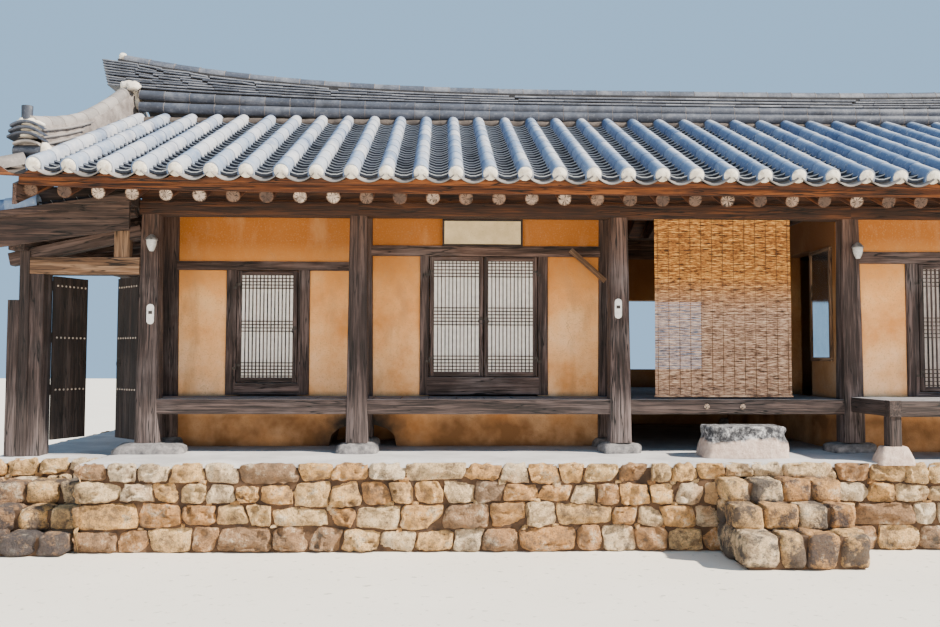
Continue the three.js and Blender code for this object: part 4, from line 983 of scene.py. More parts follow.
# %% Placing copies of a tile
def copies(unit_points, quads, uppers, lowers, sides, tones, unit_tones=0.0):
    """The unit's points are (side, up, share of the length). Each copy's up is its direction
    crossed with its side, so a point is upper + side·a + up·b + direction·length·c."""
    uppers, lowers = np.asarray(uppers, float), np.asarray(lowers, float)
    sides = np.broadcast_to(np.asarray(sides, float), uppers.shape)
    run = lowers - uppers
    ups = np.cross(unit(run), sides)
    a, b, c = (unit_points[:, k][None, :, None] for k in range(3))
    points = uppers[:, None] + sides[:, None] * a + ups[:, None] * b + run[:, None] * c
    count, size = len(uppers), len(unit_points)
    faces = (quads[None] + (np.arange(count) * size)[:, None, None]).reshape(-1, 4)
    flat = points.reshape(-1, 3)
    shades = np.asarray(tones)[:, None] + np.broadcast_to(unit_tones, (1, size))
    return Shape(flat, faces, flat.copy(), shades.ravel())


def cover_unit(radius, leg, lip=0.014, flare=0.007, steps=8):
    """A half pipe on short legs: an arch carried from the narrow end to the wide one, then
    turned in by the thickness of the clay, so that each joint shows as a step."""
    angles = np.linspace(0, np.pi, steps + 1)
    rows = []
    for size, share in ((radius - flare, 0.0), (radius, 1.02), (radius - lip, 1.02)):
        arch = np.stack([size * np.cos(angles), size * np.sin(angles)], -1)
        outline = np.concatenate([[[size, -leg]], arch, [[-size, -leg]]])
        rows.append(np.column_stack([outline, np.full(len(outline), share)]))
    return np.concatenate(rows), strip_quads(3, steps + 3)


def sagging_strip(width, sag, stations, points):
    """A strip with a parabola across it. Each station is (rise above the curve, share of the
    length)."""
    across = np.linspace(width / 2, -width / 2, points)
    curve = sag * (2 * across / width) ** 2
    rows = [np.column_stack([across, curve + rise, np.full(points, share)]) for rise, share in stations]
    return np.concatenate(rows), strip_quads(len(rows), points)


TROUGH_POINTS = 6


def trough_unit(width, sag, step):
    """A strip that climbs by one clay thickness towards its lower end, and then the small face
    of its front edge. Its copies are toned so that the rim is a painted highlight and the rest painted
    shade."""
    climb = ((0, 0), (0.94, 0.94), (1, 1), (0.74, 1), (0.66, 1), (0, 1))
    return sagging_strip(width, sag, [(step * rise, share) for rise, share in climb], TROUGH_POINTS)


# Painted light and shade: a high tone on the rim and the top of the front face, a painted highlight, and a
# low tone on the body and the foot of the face, painted shade.
TROUGH_RIM_LIGHT_AND_SHADE = np.repeat([0.0, 0.0, 1.1, 0.9, 0.0, 0.0], TROUGH_POINTS)
PITCH = 0.3
ROW_SHIFT, ROWS_EACH_SIDE = -0.024, 21
COVER_RADIUS, COVER_RISE, TROUGH_RISE = 0.07, 0.094, 0.026
COVER_COURSES, TROUGH_COURSES = 9, 24
FLANK_SHADE = -0.7
TILES_FROM = 0.15


def on_slope(x, distance, side, rise):
    """A point on the roof at x and at that distance from the ridge, rise above the clay bed."""
    height = bed_top(distance) + lift(x, distance) + rise
    return points_at(x, side * distance, height).reshape(-1, 3)


def tile_slope(side):
    """Cover rows at every pitch and troughs between them, course by course down the slope."""
    rows = np.arange(-ROWS_EACH_SIDE, ROWS_EACH_SIDE + 1) * PITCH + ROW_SHIFT
    wobble = chance.uniform(-0.006, 0.006, rows.shape)
    cuts = np.linspace(TILES_FROM, EAVE_Y, COVER_COURSES + 1)
    x, upper = np.meshgrid(rows + wobble, cuts[:-1], indexing="ij")
    lower = np.broadcast_to(cuts[1:], x.shape)
    across = -side * X_AXIS
    arch, quads = cover_unit(COVER_RADIUS, 0.055)
    # Painted shade: the half of each cover tile's arch that faces left gets a tone up to 0.7 lower towards
    # its foot, so it is painted darker and bluer.
    painted_flank_shade = FLANK_SHADE * (side * arch[:, 0] / COVER_RADIUS).clip(0, 1)
    covers = copies(arch, quads, on_slope(x, upper, side, COVER_RISE), on_slope(x, lower, side, COVER_RISE),
                    across, chance.uniform(0.58, 0.85, size=x.size), painted_flank_shade)
    gaps = np.arange(-ROWS_EACH_SIDE, ROWS_EACH_SIDE) * PITCH + ROW_SHIFT + PITCH / 2
    cuts = np.linspace(TILES_FROM, EAVE_Y - 0.05, TROUGH_COURSES + 1)
    x, upper = np.meshgrid(gaps, cuts[:-1], indexing="ij")
    upper = upper + chance.uniform(-0.008, 0.008, upper.shape) * (upper > TILES_FROM)
    lower = np.concatenate([upper[:, 1:], np.full((len(gaps), 1), cuts[-1])], axis=1)
    troughs = copies(*trough_unit(0.24, 0.052, 0.032), on_slope(x, upper, side, TROUGH_RISE),
                     on_slope(x, lower, side, TROUGH_RISE), across, chance.uniform(0, 0.2, x.size),
                     TROUGH_RIM_LIGHT_AND_SHADE)
    return covers, troughs, rows, gaps

# %% [markdown]
# At the eave each cover tile is stopped with a plug of white lime, and the lowest trough tile
# hangs over the board as a pale crescent. The board under the tiles is cut in scallops that
# follow the crescents.

# %% Tile fields of both slopes
def lime_plug(radius, depth, rings=4, sides=14):
    """A shallow dome that closes a tile's end: rings shrink towards the middle as it swells."""
    angles = np.linspace(0, 2 * np.pi, sides, endpoint=False)
    swell = np.linspace(0, np.pi / 2, rings)
    parts = [np.column_stack([radius * np.cos(s) * np.cos(angles),
                              radius * np.cos(s) * np.sin(angles) * 0.97,
                              np.full(sides, depth * np.sin(s))]) for s in swell]
    return np.concatenate(parts), strip_quads(rings, sides, closed=True)


DRIP_WIDTH, DRIP_SAG = 0.268, 0.066


def drip_unit(width, sag, thickness):
    """The crescent at the eave: a thicker sagging strip with its front face and its underside."""
    stations = ((0.014, 0), (0.012, 1), (0.012 - thickness, 1), (-thickness, 0))
    return sagging_strip(width, sag, stations, 11)


BOARD_Y, BOARD_INNER_Y, BOARD_OUTER_Y, BOARD_BOTTOM, BOARD_STATIONS = 2.768, 2.752, 2.77, 3.158, 700


def scalloped_board(side):
    """A board along the eave: its top follows the crescents, a parabola between cover rows."""
    x = np.linspace(-BED_REACH + 0.004, BED_REACH - 0.004, BOARD_STATIONS)
    from_gap = (x - ROW_SHIFT) % PITCH - PITCH / 2
    base = bed_top(BOARD_Y) + lift(x, BOARD_Y)
    top = base - 0.012 + DRIP_SAG * np.minimum(np.abs(2 * from_gap / DRIP_WIDTH), 1) ** 2
    low = BOARD_BOTTOM + lift(x, BOARD_Y)
    near, far = side * BOARD_INNER_Y, side * BOARD_OUTER_Y
    ring = [points_at(x, y, z) for y, z in ((near, low), (far, low), (far, top), (near, top))]
    points = np.stack(ring if side > 0 else ring[::-1], 1).reshape(-1, 3)
    return placed(points, bar_quads(BOARD_STATIONS))


for side, label in ((-1, "front"), (1, "back")):
    covers, troughs, rows, gaps = tile_slope(side)
    make(f"cover_tiles_{label}", covers, cover_tile, crease=50)
    make(f"trough_tiles_{label}", troughs, trough_tile, crease=35)
    start, end = (on_slope(rows, y, side, COVER_RISE - 0.004) for y in (EAVE_Y, EAVE_Y + 0.01))
    plug, quads = lime_plug(COVER_RADIUS - 0.004, 2.4)
    plugs = copies(plug, quads, start, end, -side * X_AXIS, chance.uniform(size=len(rows)))
    make(f"lime_plugs_{label}", plugs, lime_white, crease=75)
    start = on_slope(gaps, EAVE_Y - 0.09, side, 0.004)
    end = on_slope(gaps, EAVE_Y + 0.01, side, -0.002)
    drips = copies(*drip_unit(DRIP_WIDTH, DRIP_SAG, 0.008), start, end, -side * X_AXIS,
                   chance.uniform(0.3, 0.7, len(gaps)))
    make(f"drip_tiles_{label}", drips, verge_tile, crease=50)
    make(f"scalloped_board_{label}", scalloped_board(side), eave_timber, crease=30)

# %% [markdown]
# Under the tiles lies the clay. Its outline runs up one slope and down the other and is carried
# from gable to gable. The plain ribs of the construction model stand for the cover rows, and
# the rows above are now real tiles, so this slab takes their place.

# %% Clay under the tiles
def clay_slab():
    """The outline of (distance, height), with a strip above and a strip below the clay, carried
    along X and lifted towards the gables. Each end is closed by faces between the two strips."""
    top, bottom = bed_top(0.0), bed_top(0.0) - 0.1
    edge_y, edge_top, edge_bottom = 2.748, 3.189, 3.171
    outline = np.array([(-edge_y, edge_top), (0.0, top), (edge_y, edge_top),
                        (edge_y, edge_bottom), (0.0, bottom), (-edge_y, edge_bottom)])
    reach = BED_REACH - 0.004
    x = np.concatenate([-LIFT_X[1:8][::-1], LIFT_X[:8]]).clip(-reach, reach)[:, None]
    rise = lift(x, np.abs(outline[:, 0])[None])
    points = points_at(x, outline[:, 0], outline[:, 1] + rise).reshape(-1, 3)
    rows = len(x)
    closing = np.array([[0, 1, 4, 5], [1, 2, 3, 4]])
    skin = strip_quads(rows, 6, closed=True)[:, ::-1]
    quads = np.concatenate([skin, closing, closing[:, ::-1] + 6 * (rows - 1)])
    return placed(points, quads, 0.4)


make("clay_slab", clay_slab(), roof_clay, replaces=["roof_bed"], crease=20)

# %% [markdown]
# The main ridge is a wall of flat tiles on two rows of round ones, with cover tiles on top.
# It sags in the middle and sweeps up at the ends, where more flat tiles are slipped in so that
# the layers fan out. Lime shows as a thin pale ring at each joint, and a fillet of clay closes
# the ridge's foot against the tile field.

# %% Main ridge
RIDGE_REACH, CORE_REACH, CAP_REACH, TUBE_REACH = 6.7, 6.6, 6.56, 6.33
TUBE_LENGTH, LAYER_LENGTHS, LAYER_PITCH = 0.29, 46, 0.031
RIDGE_FOOT, RIDGE_CREST = 4.622, 4.803
CORE_HALF, CORE_STATIONS = 0.13, 60


def fan_rise(x):
    """How far the layers climb towards the gables: a cube of x."""
    return 0.15 * (np.abs(x) / 6.4) ** 3


def cap_rise(x):
    """The cap sweeps up more steeply than the layers' foot, so the layers open like a fan."""
    return 0.37 * (np.abs(x) / 6.63) ** 3.5


def layer_low(x):
    """Height at which the flat tiles start."""
    return RIDGE_FOOT + fan_rise(x)


def layer_high(x):
    """Height of the ridge's crest, just under the arch of its caps."""
    return RIDGE_CREST + cap_rise(x)


def layer_top(x):
    """Height at which the flat tiles end."""
    return layer_high(x) - 0.074


def along_ridge(reach, y, height, length=TUBE_LENGTH):
    """Starts and ends of tiles laid end to end along the ridge, on the curve height(x)."""
    cuts = np.linspace(-reach, reach, int(round(2 * reach / length)) + 1)
    points = points_at(cuts, y, height(cuts))
    return points[:-1], points[1:]


def slab(half, thickness):
    """A flat tile as a unit: a rectangle of (side, up) corners from one end to the other. Its
    upper corners are painted paler, a painted highlight along the top edge."""
    outline = np.array([[half, 0], [half, thickness], [-half, thickness], [-half, 0]])
    rows = [np.column_stack([outline, np.full(4, share)]) for share in (0.006, 0.994)]
    return np.concatenate(rows), bar_quads(2)


# Painted highlight: the upper corners of each flat tile get a higher tone than the lower ones.
SLAB_LIT_TOP_EDGES = np.tile([0.0, 0.75, 0.75, 0.0], 2)


def ridge_layers():
    """In each length of the ridge as many flat tiles as the room between the curves allows."""
    shapes = []
    cuts = np.linspace(-RIDGE_REACH, RIDGE_REACH, LAYER_LENGTHS + 1)
    shifts = chance.uniform(-0.09, 0.09, (LAYER_LENGTHS + 2, 30))
    for j, (x0, x1) in enumerate(zip(cuts[:-1], cuts[1:])):
        middle = (x0 + x1) / 2
        room = layer_top(middle) - layer_low(middle)
        count = max(3, int(round(room / LAYER_PITCH)))
        share = np.arange(count) / count
        ends = []
        for x, shift in ((x0, shifts[j, :count]), (x1, shifts[j + 1, :count])):
            tip = abs(x) > CORE_REACH
            z = layer_low(x) + share * (layer_top(x) - layer_low(x))
            along = x * (1 + 0.075 / RIDGE_REACH * share) if tip else x + shift
            ends.append(points_at(along, chance.uniform(-0.004, 0.004, count), z))
        points, quads = slab(0.17, 0.6 * room / count)
        tones = chance.uniform(0, 0.3, count)
        shapes.append(copies(points, quads, ends[0], ends[1], Y_AXIS, tones, SLAB_LIT_TOP_EDGES))
    return shapes


def ridge_core():
    """The dark mass behind the tiles, a little inside their edges."""
    x = np.linspace(-CORE_REACH, CORE_REACH, CORE_STATIONS)
    foot = np.where(np.abs(x) < TUBE_REACH + 0.01, bed_top(CORE_HALF) - 0.02, layer_low(x) + 0.01)
    top = layer_high(x) - 0.05
    corners = ((-CORE_HALF, foot), (CORE_HALF, foot), (CORE_HALF, top), (-CORE_HALF, top))
    points = np.stack([points_at(x, y, z) for y, z in corners], 1).reshape(-1, 3)
    return placed(points, bar_quads(CORE_STATIONS), 0.1)


make("ridge_core", ridge_core(), ridge_shade, replaces=["main_ridge"])
make("ridge_layers", ridge_layers(), ridge_tile, crease=20)
cap_start, cap_end = along_ridge(CAP_REACH, 0.0, lambda x: layer_high(x) - 0.03)
cap_tones = chance.uniform(0.42, 0.62, len(cap_start))
caps = copies(*cover_unit(0.073, 0.05, flare=0.004), cap_start, cap_end, Y_AXIS, cap_tones)
JOINT_SHARE = 0.02
joint_end = cap_start + JOINT_SHARE * (cap_end - cap_start)
joints = [copies(*cover_unit(0.0755, 0.05, flare=0), cap_start, joint_end, Y_AXIS, cap_tones)]
FILLET_Y = 0.185
tubes, fillets = [], []
for side in (-1, 1):
    for y, radius, base, share in ((0.15, 0.056, 4.56, 0.88), (0.165, 0.06, 4.476, 0.45)):
        start, end = along_ridge(TUBE_REACH, side * y, lambda x: base + fan_rise(x) * share)
        points, quads = cover_unit(1.0, 0.0, flare=0.05, lip=0.25)
        ordered = quads if side < 0 else quads[:, ::-1]
        laid = np.stack([points[:, 1] * side * radius, points[:, 0] * radius, points[:, 2]], -1)
        tubes.append(copies(laid, ordered, start, end, Y_AXIS, chance.uniform(0.35, 0.55, len(start))))
        ring = laid * [1.05, 1.05, 1]
        ring_end = start + JOINT_SHARE * (end - start)
        joints.append(copies(ring, ordered, start, ring_end, Y_AXIS, np.ones(len(start))))
    x = np.linspace(-TUBE_REACH, TUBE_REACH, 260)
    path = points_at(x, side * FILLET_Y, bed_top(FILLET_Y) + lift(x, FILLET_Y) + 0.062)
    sizes = 1 + 0.14 * ripple(path, 0.12, 140 + side)
    fillets.append(carried(circle(0.052, 10), path, Y_AXIS, Z_AXIS, sizes, tone=0.4))
make("ridge_caps", caps, ridge_tile, crease=50)
make("ridge_tubes", tubes, ridge_tile, crease=50)
make("ridge_joints", joints, smeared_lime, crease=50)
make("ridge_fillets", fillets, roof_clay, crease=75)

# %% [markdown]
# A ridge also runs down each gable. It dips between its high ends. Lime was smeared over its
# side when it was last mended, so the flat tiles show only near the eave. It ends there in a
# stack: a round tile across, three arched plates and one hollow tile set upright.

# %% Descending ridges
VERGE_X = (6.372, 6.6)
VERGE_START, VERGE_END = 0.02, 2.5
VERGE_HEIGHTS = np.array([[0.0, 0.455], [0.2, 0.47], [0.45, 0.415], [0.7, 0.38], [1.05, 0.34],
                          [1.4, 0.325], [1.75, 0.34], [2.05, 0.375], [2.3, 0.415], [2.52, 0.45]])


def verge_line(x, distance, share):
    """Height at a share of the descending ridge: the clay bed plus that share of its height."""
    height = np.interp(distance, VERGE_HEIGHTS[:, 0], VERGE_HEIGHTS[:, 1])
    return bed_top(distance) + lift(x, distance) + share * (height - 0.05)


def verge_ridge(gable, slope):
    """A plastered band carried down the slope under a row of cover tiles, and the free ends of
    three flat tiles that come out of the plaster towards the eave."""
    middle, half = gable * sum(VERGE_X) / 2, (VERGE_X[1] - VERGE_X[0]) / 2
    edge = gable * VERGE_X[1]
    distance = np.linspace(VERGE_START, VERGE_END, 26)
    low, top = verge_line(edge, distance, 0.0) - 0.02, verge_line(edge, distance, 0.93)
    shares = np.array([0, 0.12, 0.34, 0.4, 0.62, 0.86, 1.0])
    widths = np.array([1.0, 1.0, 0.99, 0.9, 0.88, 0.84, 0.66]) * (half - 0.004)
    profile = np.concatenate([np.stack([shares, widths], -1), np.stack([shares[::-1], -widths[::-1]], -1)])
    z = low[:, None] + (top - low)[:, None] * profile[:, 0]
    points = points_at(middle + gable * slope * profile[:, 1], slope * distance[:, None], z).reshape(-1, 3)
    points[:, 0] += 0.006 * ripple(points, 0.16, 51) + 0.003 * ripple(points, 0.05, 52)
    quads = strip_quads(len(distance), len(profile), closed=True)
    band = placed(points, quads if gable < 0 else quads[:, ::-1])
    flats = []
    for layer, (share, first) in enumerate(((0.46, 1.75), (0.6, 1.6), (0.74, 1.4))):
        cuts = np.linspace(first, VERGE_END, 5)
        path = points_at(middle, slope * cuts, verge_line(edge, cuts, share) + 0.01 * layer)
        tile, faces = slab(half + 0.004, 0.014)
        tones = chance.uniform(0.1, 0.5, 4)
        flats.append(copies(tile, faces, path[:-1], path[1:], -slope * X_AXIS, tones, SLAB_LIT_TOP_EDGES))
    cuts = np.linspace(VERGE_START, VERGE_END, 10)
    path = points_at(middle, slope * cuts, verge_line(edge, cuts, 0.96) - 0.006)
    row = copies(*cover_unit(0.074, 0.03, flare=0.004), path[:-1], path[1:], -slope * X_AXIS,
                 chance.uniform(0.55, 1.0, 9))
    return band, flats, row


def verge_edge(gable, slope):
    """Short cover tiles that point outwards over the gable, one at every pitch of the slope,
    and the lime plugs in their ends."""
    distances = np.arange(0.16, 2.8, 0.3)
    starts = on_slope(np.full_like(distances, gable * 6.5), distances, slope, 0.07)
    turned_out = np.where(distances > 2.5, 0.1, 0.0)
    ends = on_slope(gable * (6.715 - 0.3 * turned_out), distances + turned_out, slope, 0.03)
    run = ends - starts
    sides = unit(np.cross(Z_AXIS, run))
    tiles = copies(*cover_unit(0.074, 0.045, flare=0.004), starts, ends, sides,
                   chance.uniform(0.5, 1.0, len(distances)))
    plug, quads = lime_plug(0.07, 0.1)
    plugs = copies(plug, quads, ends, ends + run, sides, chance.uniform(size=len(distances)))
    return tiles, plugs


def arched_plate(x0, x1, y, z, rise, width, tone):
    """A plate bent over a parabola, whose outer tip turns up a little."""
    share = np.linspace(0, 1, 11)
    height = z + rise * (1 - (2 * share - 1) ** 2)
    path = points_at(x0 + share * (x1 - x0), y, height)
    return carried(rounded_outline(width, 0.024, 0.008), path, Y_AXIS, Z_AXIS, tone=tone)


def end_stack(gable, slope):
    """The stopped end: a round tile across, a pale half tile, three arched plates with mortar
    between them, and one hollow tile set upright on a bed of lime."""
    y = slope * VERGE_END
    base = float(verge_line(gable * VERGE_X[1], VERGE_END, 0.0)) - 0.025
    outer, inner = gable * 6.65, gable * 6.385
    x0, x1 = min(outer, inner), max(outer, inner)
    middle = (x0 + x1) / 2
    tube = [(x0 + 0.03, y, base + 0.15), (x1 + 0.005, y, base + 0.15)]
    dark = [carried(circle(0.058, 18), tube, Y_AXIS, Z_AXIS, tone=0.1)]
    pale = [arched_plate(x0 + 0.04, x1, y, base + 0.208, 0.03, 0.15, 0.9)]
    white = []
    for k in range(3):
        z = base + 0.262 + 0.05 * k
        dark.append(arched_plate(x0 + 0.012 * k, x1 + 0.01, y, z, 0.042, 0.205, 0.15 + 0.1 * k))
        bed = (middle + 0.02, y - slope * 0.01, z + 0.044)
        white.append(boulder(bed, (0.115, 0.088, 0.024), 60 + k, 0.6, 0.05))
    white.append(boulder((middle, y - slope * 0.03, base + 0.432), (0.085, 0.07, 0.03), 64, 0.7, 0.08))
    turn = np.linspace(0, 2 * np.pi, 17)[:-1]
    ring = np.stack([0.05 * np.cos(turn), 0.04 * np.sin(turn)], -1)
    heights = np.array([0.435, 0.48, 0.545, 0.562, 0.562, 0.54])
    centres = points_at(middle - 0.005, y, base + heights)
    dark.append(carried(ring, centres, X_AXIS, Y_AXIS, [0.96, 0.97, 1.0, 1.0, 0.72, 0.66], tone=0.1))
    white.append(boulder((x1 + 0.03 if gable < 0 else x0 - 0.03, y - slope * 0.01, base + 0.135),
                         (0.048, 0.06, 0.105), 7, 0.7, 0.1, tone=0.7, rows=11, columns=16))
    return dark, pale, white


edges, darks, pales, whites, bands = [], [], [], [], []
for gable, label in ((-1, "left"), (1, "right")):
    flats = []
    for slope in (-1, 1):
        band, more, row = verge_ridge(gable, slope)
        bands.append(band)
        flats += more + [row]
        tiles, plugs = verge_edge(gable, slope)
        edges.append(tiles)
        whites.append(plugs)
        dark, pale, white = end_stack(gable, slope)
        darks, pales, whites = darks + dark, pales + pale, whites + white
        top = float(verge_line(gable * VERGE_X[0], 0.0, 1.0))
        for k, (across, up, size) in enumerate(((0.16, 0.0, 0.08), (0.23, -0.035, 0.062))):
            middle = (gable * (6.44 - 0.06 * k), slope * across, top + up)
            whites.append(boulder(middle, (size * 1.3, size, size * 0.75), 90 + k, 0.7, 0.22, 0.5, 11, 16))
    make(f"descending_ridge_{label}", flats, verge_tile,
         replaces=[f"verge_ridge_{label}"], crease=40)
    peak = float(layer_low(6.45))
    whites.append(boulder((gable * 6.475, 0, peak - 0.105), (0.125, 0.13, 0.14), 97, 0.35, 0.03, tone=0.5))
    tip = float(layer_high(6.585)) + 0.005
    whites.append(boulder((gable * 6.585, 0, tip), (0.05, 0.062, 0.055), 98, 0.8, 0.1, tone=0.5))
make("descending_bands", bands, smeared_lime, crease=60)
make("gable_edge_tiles", edges, verge_tile, crease=50)
make("end_stacks", darks, ridge_tile, crease=50)
make("end_half_tiles", pales, verge_tile, crease=50)
make("ridge_mortar", whites, lime_white, crease=75)

# %% [markdown]
# The decks are edge beams with short boards let in between. Boards are a few millimetres
# apart and no two have the same colour.

# %% Decks
DECK_TOP, RIGHT_DECK_TOP, DECK_BEAM = 1.275, 1.3, 0.146
DECK_FACE = FRONT_Y - 0.09
DECK_EDGE, BOARDS_FROM, END_BEAM = 0.09, 0.088, 0.11
PORCH_DECK, HALL_REACH = (-5.67, -1.07), 1.069
PIN_Z, PIN_PLACES = 1.205, (-0.3, 0.045)


def boards(x0, x1, y0, y1, top, pitch, thickness=0.042):
    """Boards side by side along X, each running from y0 to y1."""
    count = max(2, int(round((x1 - x0) / pitch)))
    cuts = np.linspace(x0, x1, count + 1)
    return [plank(a + 0.0015, b - 0.0015, y0, y1, top - thickness, top - chance.uniform(0, 0.002), 1,
                  **PLANED) for a, b in zip(cuts[:-1], cuts[1:])]


def edge_beam(x0, x1):
    """The beam that shows along the front of a deck."""
    return plank(x0, x1, DECK_FACE, DECK_FACE + DECK_EDGE, DECK_TOP - DECK_BEAM, DECK_TOP, 0)


porch = [edge_beam(PORCH_DECK[0], COLUMN_X[1]), edge_beam(COLUMN_X[1], COLUMN_X[2] + 0.06)]
porch += boards(*PORCH_DECK, DECK_FACE + BOARDS_FROM, PORCH_Y - 0.061, DECK_TOP, 0.27)
make("porch_boards", porch, deck_timber, replaces=["porch_deck"])
hall = [edge_beam(-HALL_REACH, HALL_REACH)]
hall += boards(-HALL_REACH, HALL_REACH, DECK_FACE + BOARDS_FROM, BACK_Y - 0.141, DECK_TOP, 0.24)
make("hall_boards", hall, deck_timber, replaces=["hall_deck"])
pins = [carried(circle(0.026, 14), [(x, DECK_FACE - 0.004, PIN_Z), (x, DECK_FACE + 0.02, PIN_Z)],
                -X_AXIS, Z_AXIS, tone=0.6) for x in PIN_PLACES]
pins = [pin._replace(grain=pin.grain * [0, 1, 1]) for pin in pins]
make("deck_pins", pins, sawn_ends)

right_low, right_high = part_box("right_deck")
levels = (RIGHT_DECK_TOP - DECK_BEAM, RIGHT_DECK_TOP)
deck = [plank(right_low.x, right_high.x, right_low.y, right_low.y + DECK_EDGE, *levels, 0)]
deck += [plank(x, x + END_BEAM, right_low.y, FRONT_Y - 0.085, *levels, 1, tone=0.9)
         for x in (right_low.x, right_high.x - END_BEAM)]
deck += boards(right_low.x + END_BEAM, right_high.x - END_BEAM, right_low.y + BOARDS_FROM, FRONT_Y - 0.061,
               RIGHT_DECK_TOP, 0.25)
deck += [upright(x, SHORT_POST_Y, 0.896, 1.156, 0.116, 0.116, radius=0.012) for x in SHORT_POSTS]
make("right_deck_boards", deck, deck_timber, replaces=["right_deck"])

# %% [markdown]
# A lattice door is a frame filled with thin bars. Upright bars run all the way, and crossbars
# gather in three bands. Paper is pasted on the inside. The hinges are plain iron straps.

# %% Doors, their frames and the fixed window
DOORS = {
    1: dict(open=(-4.929, -4.309), jambs=(-5.038, -4.19), sill=(1.285, 1.41),
            rail=(2.553, 2.648), line=PORCH_Y, leaves=["leaf_1"], bars=13, bands=(4, 4, 5)),
    2: dict(open=(-2.97, -1.853), jambs=(-3.066, -1.746), sill=(1.286, 1.473),
            rail=(2.709, 2.821), line=PORCH_Y, leaves=["leaf_2_left", "leaf_2_right"], bars=11,
            bands=(5, 6, 5)),
    4: dict(open=(1.783, 2.987), jambs=(1.665, 3.105), sill=(1.302, 1.346),
            rail=(2.588, 2.706), line=FRONT_Y, leaves=["leaf_4_left", "leaf_4_right"], bars=11,
            bands=(5, 6, 5)),
    5: dict(open=(4.309, 4.929), jambs=(4.19, 5.038), sill=(1.302, 1.41),
            rail=(2.588, 2.706), line=FRONT_Y, leaves=["house"], bars=13, bands=(4, 4, 5)),
}
PROUD, LEAF_DEPTH, LEAF_GAP, MEETING_GAP = 0.09, 0.036, 0.006, 0.008
STILE, BAR_HALF = 0.045, 0.0045
KNUCKLE, STRAP_LENGTH, HINGE_HEIGHT = 0.008, 0.04, 0.032


def lattice(x0, x1, face, z0, z1, bars, bands):
    """Stiles and rails round the field, upright bars at even steps, and crossbars in bands at
    the top, the middle and the bottom."""
    edges = [(x0, x0 + STILE, 0, z0, z1, 2), (x1 - STILE, x1, 0, z0, z1, 2),
             (x0 + STILE, x1 - STILE, 0.001, z0, z0 + STILE, 0),
             (x0 + STILE, x1 - STILE, 0.001, z1 - STILE, z1, 0)]
    timbers = [plank(a, b, face + sunk, face + LEAF_DEPTH, low, high, along, **PLANED)
               for a, b, sunk, low, high, along in edges]
    left, right, foot, head = x0 + STILE - 0.002, x1 - STILE + 0.002, z0 + STILE - 0.002, z1 - STILE + 0.002
    for x in np.linspace(left, right, bars + 2)[1:-1]:
        timbers.append(block(x - BAR_HALF, x + BAR_HALF, face + 0.006, face + 0.024, foot, head, 0.4))
    step = (right - left) / (bars + 1)
    for count, share in zip(bands, (0.92, 0.5, 0.08)):
        middle = foot + share * (head - foot)
        for k in range(count):
            z = middle + (k - (count - 1) / 2) * step * 0.9
            timbers.append(block(left, right, face + 0.009, face + 0.021, z - BAR_HALF, z + BAR_HALF, 0.45))
    sheet_of_paper = block(left, right, face + 0.025, face + 0.028, foot, head)
    return timbers, sheet_of_paper


def strap(x, face, z, way, on_leaf):
    """Half a hinge: a round knuckle on the axis and a flat strap on the timber."""
    low, high = (z + 0.0002, z + HINGE_HEIGHT) if on_leaf else (z - HINGE_HEIGHT, z - 0.0002)
    pin = [(x, face - 0.01, low), (x, face - 0.01, high)]
    knuckle = carried(circle(KNUCKLE, 12), pin, X_AXIS, Y_AXIS)
    x0, x1 = sorted((x, x + way * STRAP_LENGTH))
    return [knuckle, block(x0, x1, face - 0.005, face + 0.001, low + 0.004, high - 0.004)]


def ring_handle(x, face, z, size=0.028):
    """A pull ring: a circle carried round a circle, with a small round plate behind it."""
    turn = np.linspace(0, 2 * np.pi, 17)
    centres = points_at(x + size * np.sin(turn), face - 0.007, z - size * np.cos(turn))
    outward = points_at(np.sin(turn), 0, -np.cos(turn))
    ring = carried(circle(0.0035, 8), centres, outward, -Y_AXIS, capped=False)
    plate = carried(circle(0.02, 14), [(x, face - 0.004, z + size), (x, face + 0.001, z + size)],
                    -X_AXIS, Z_AXIS)
    return [ring, plate]


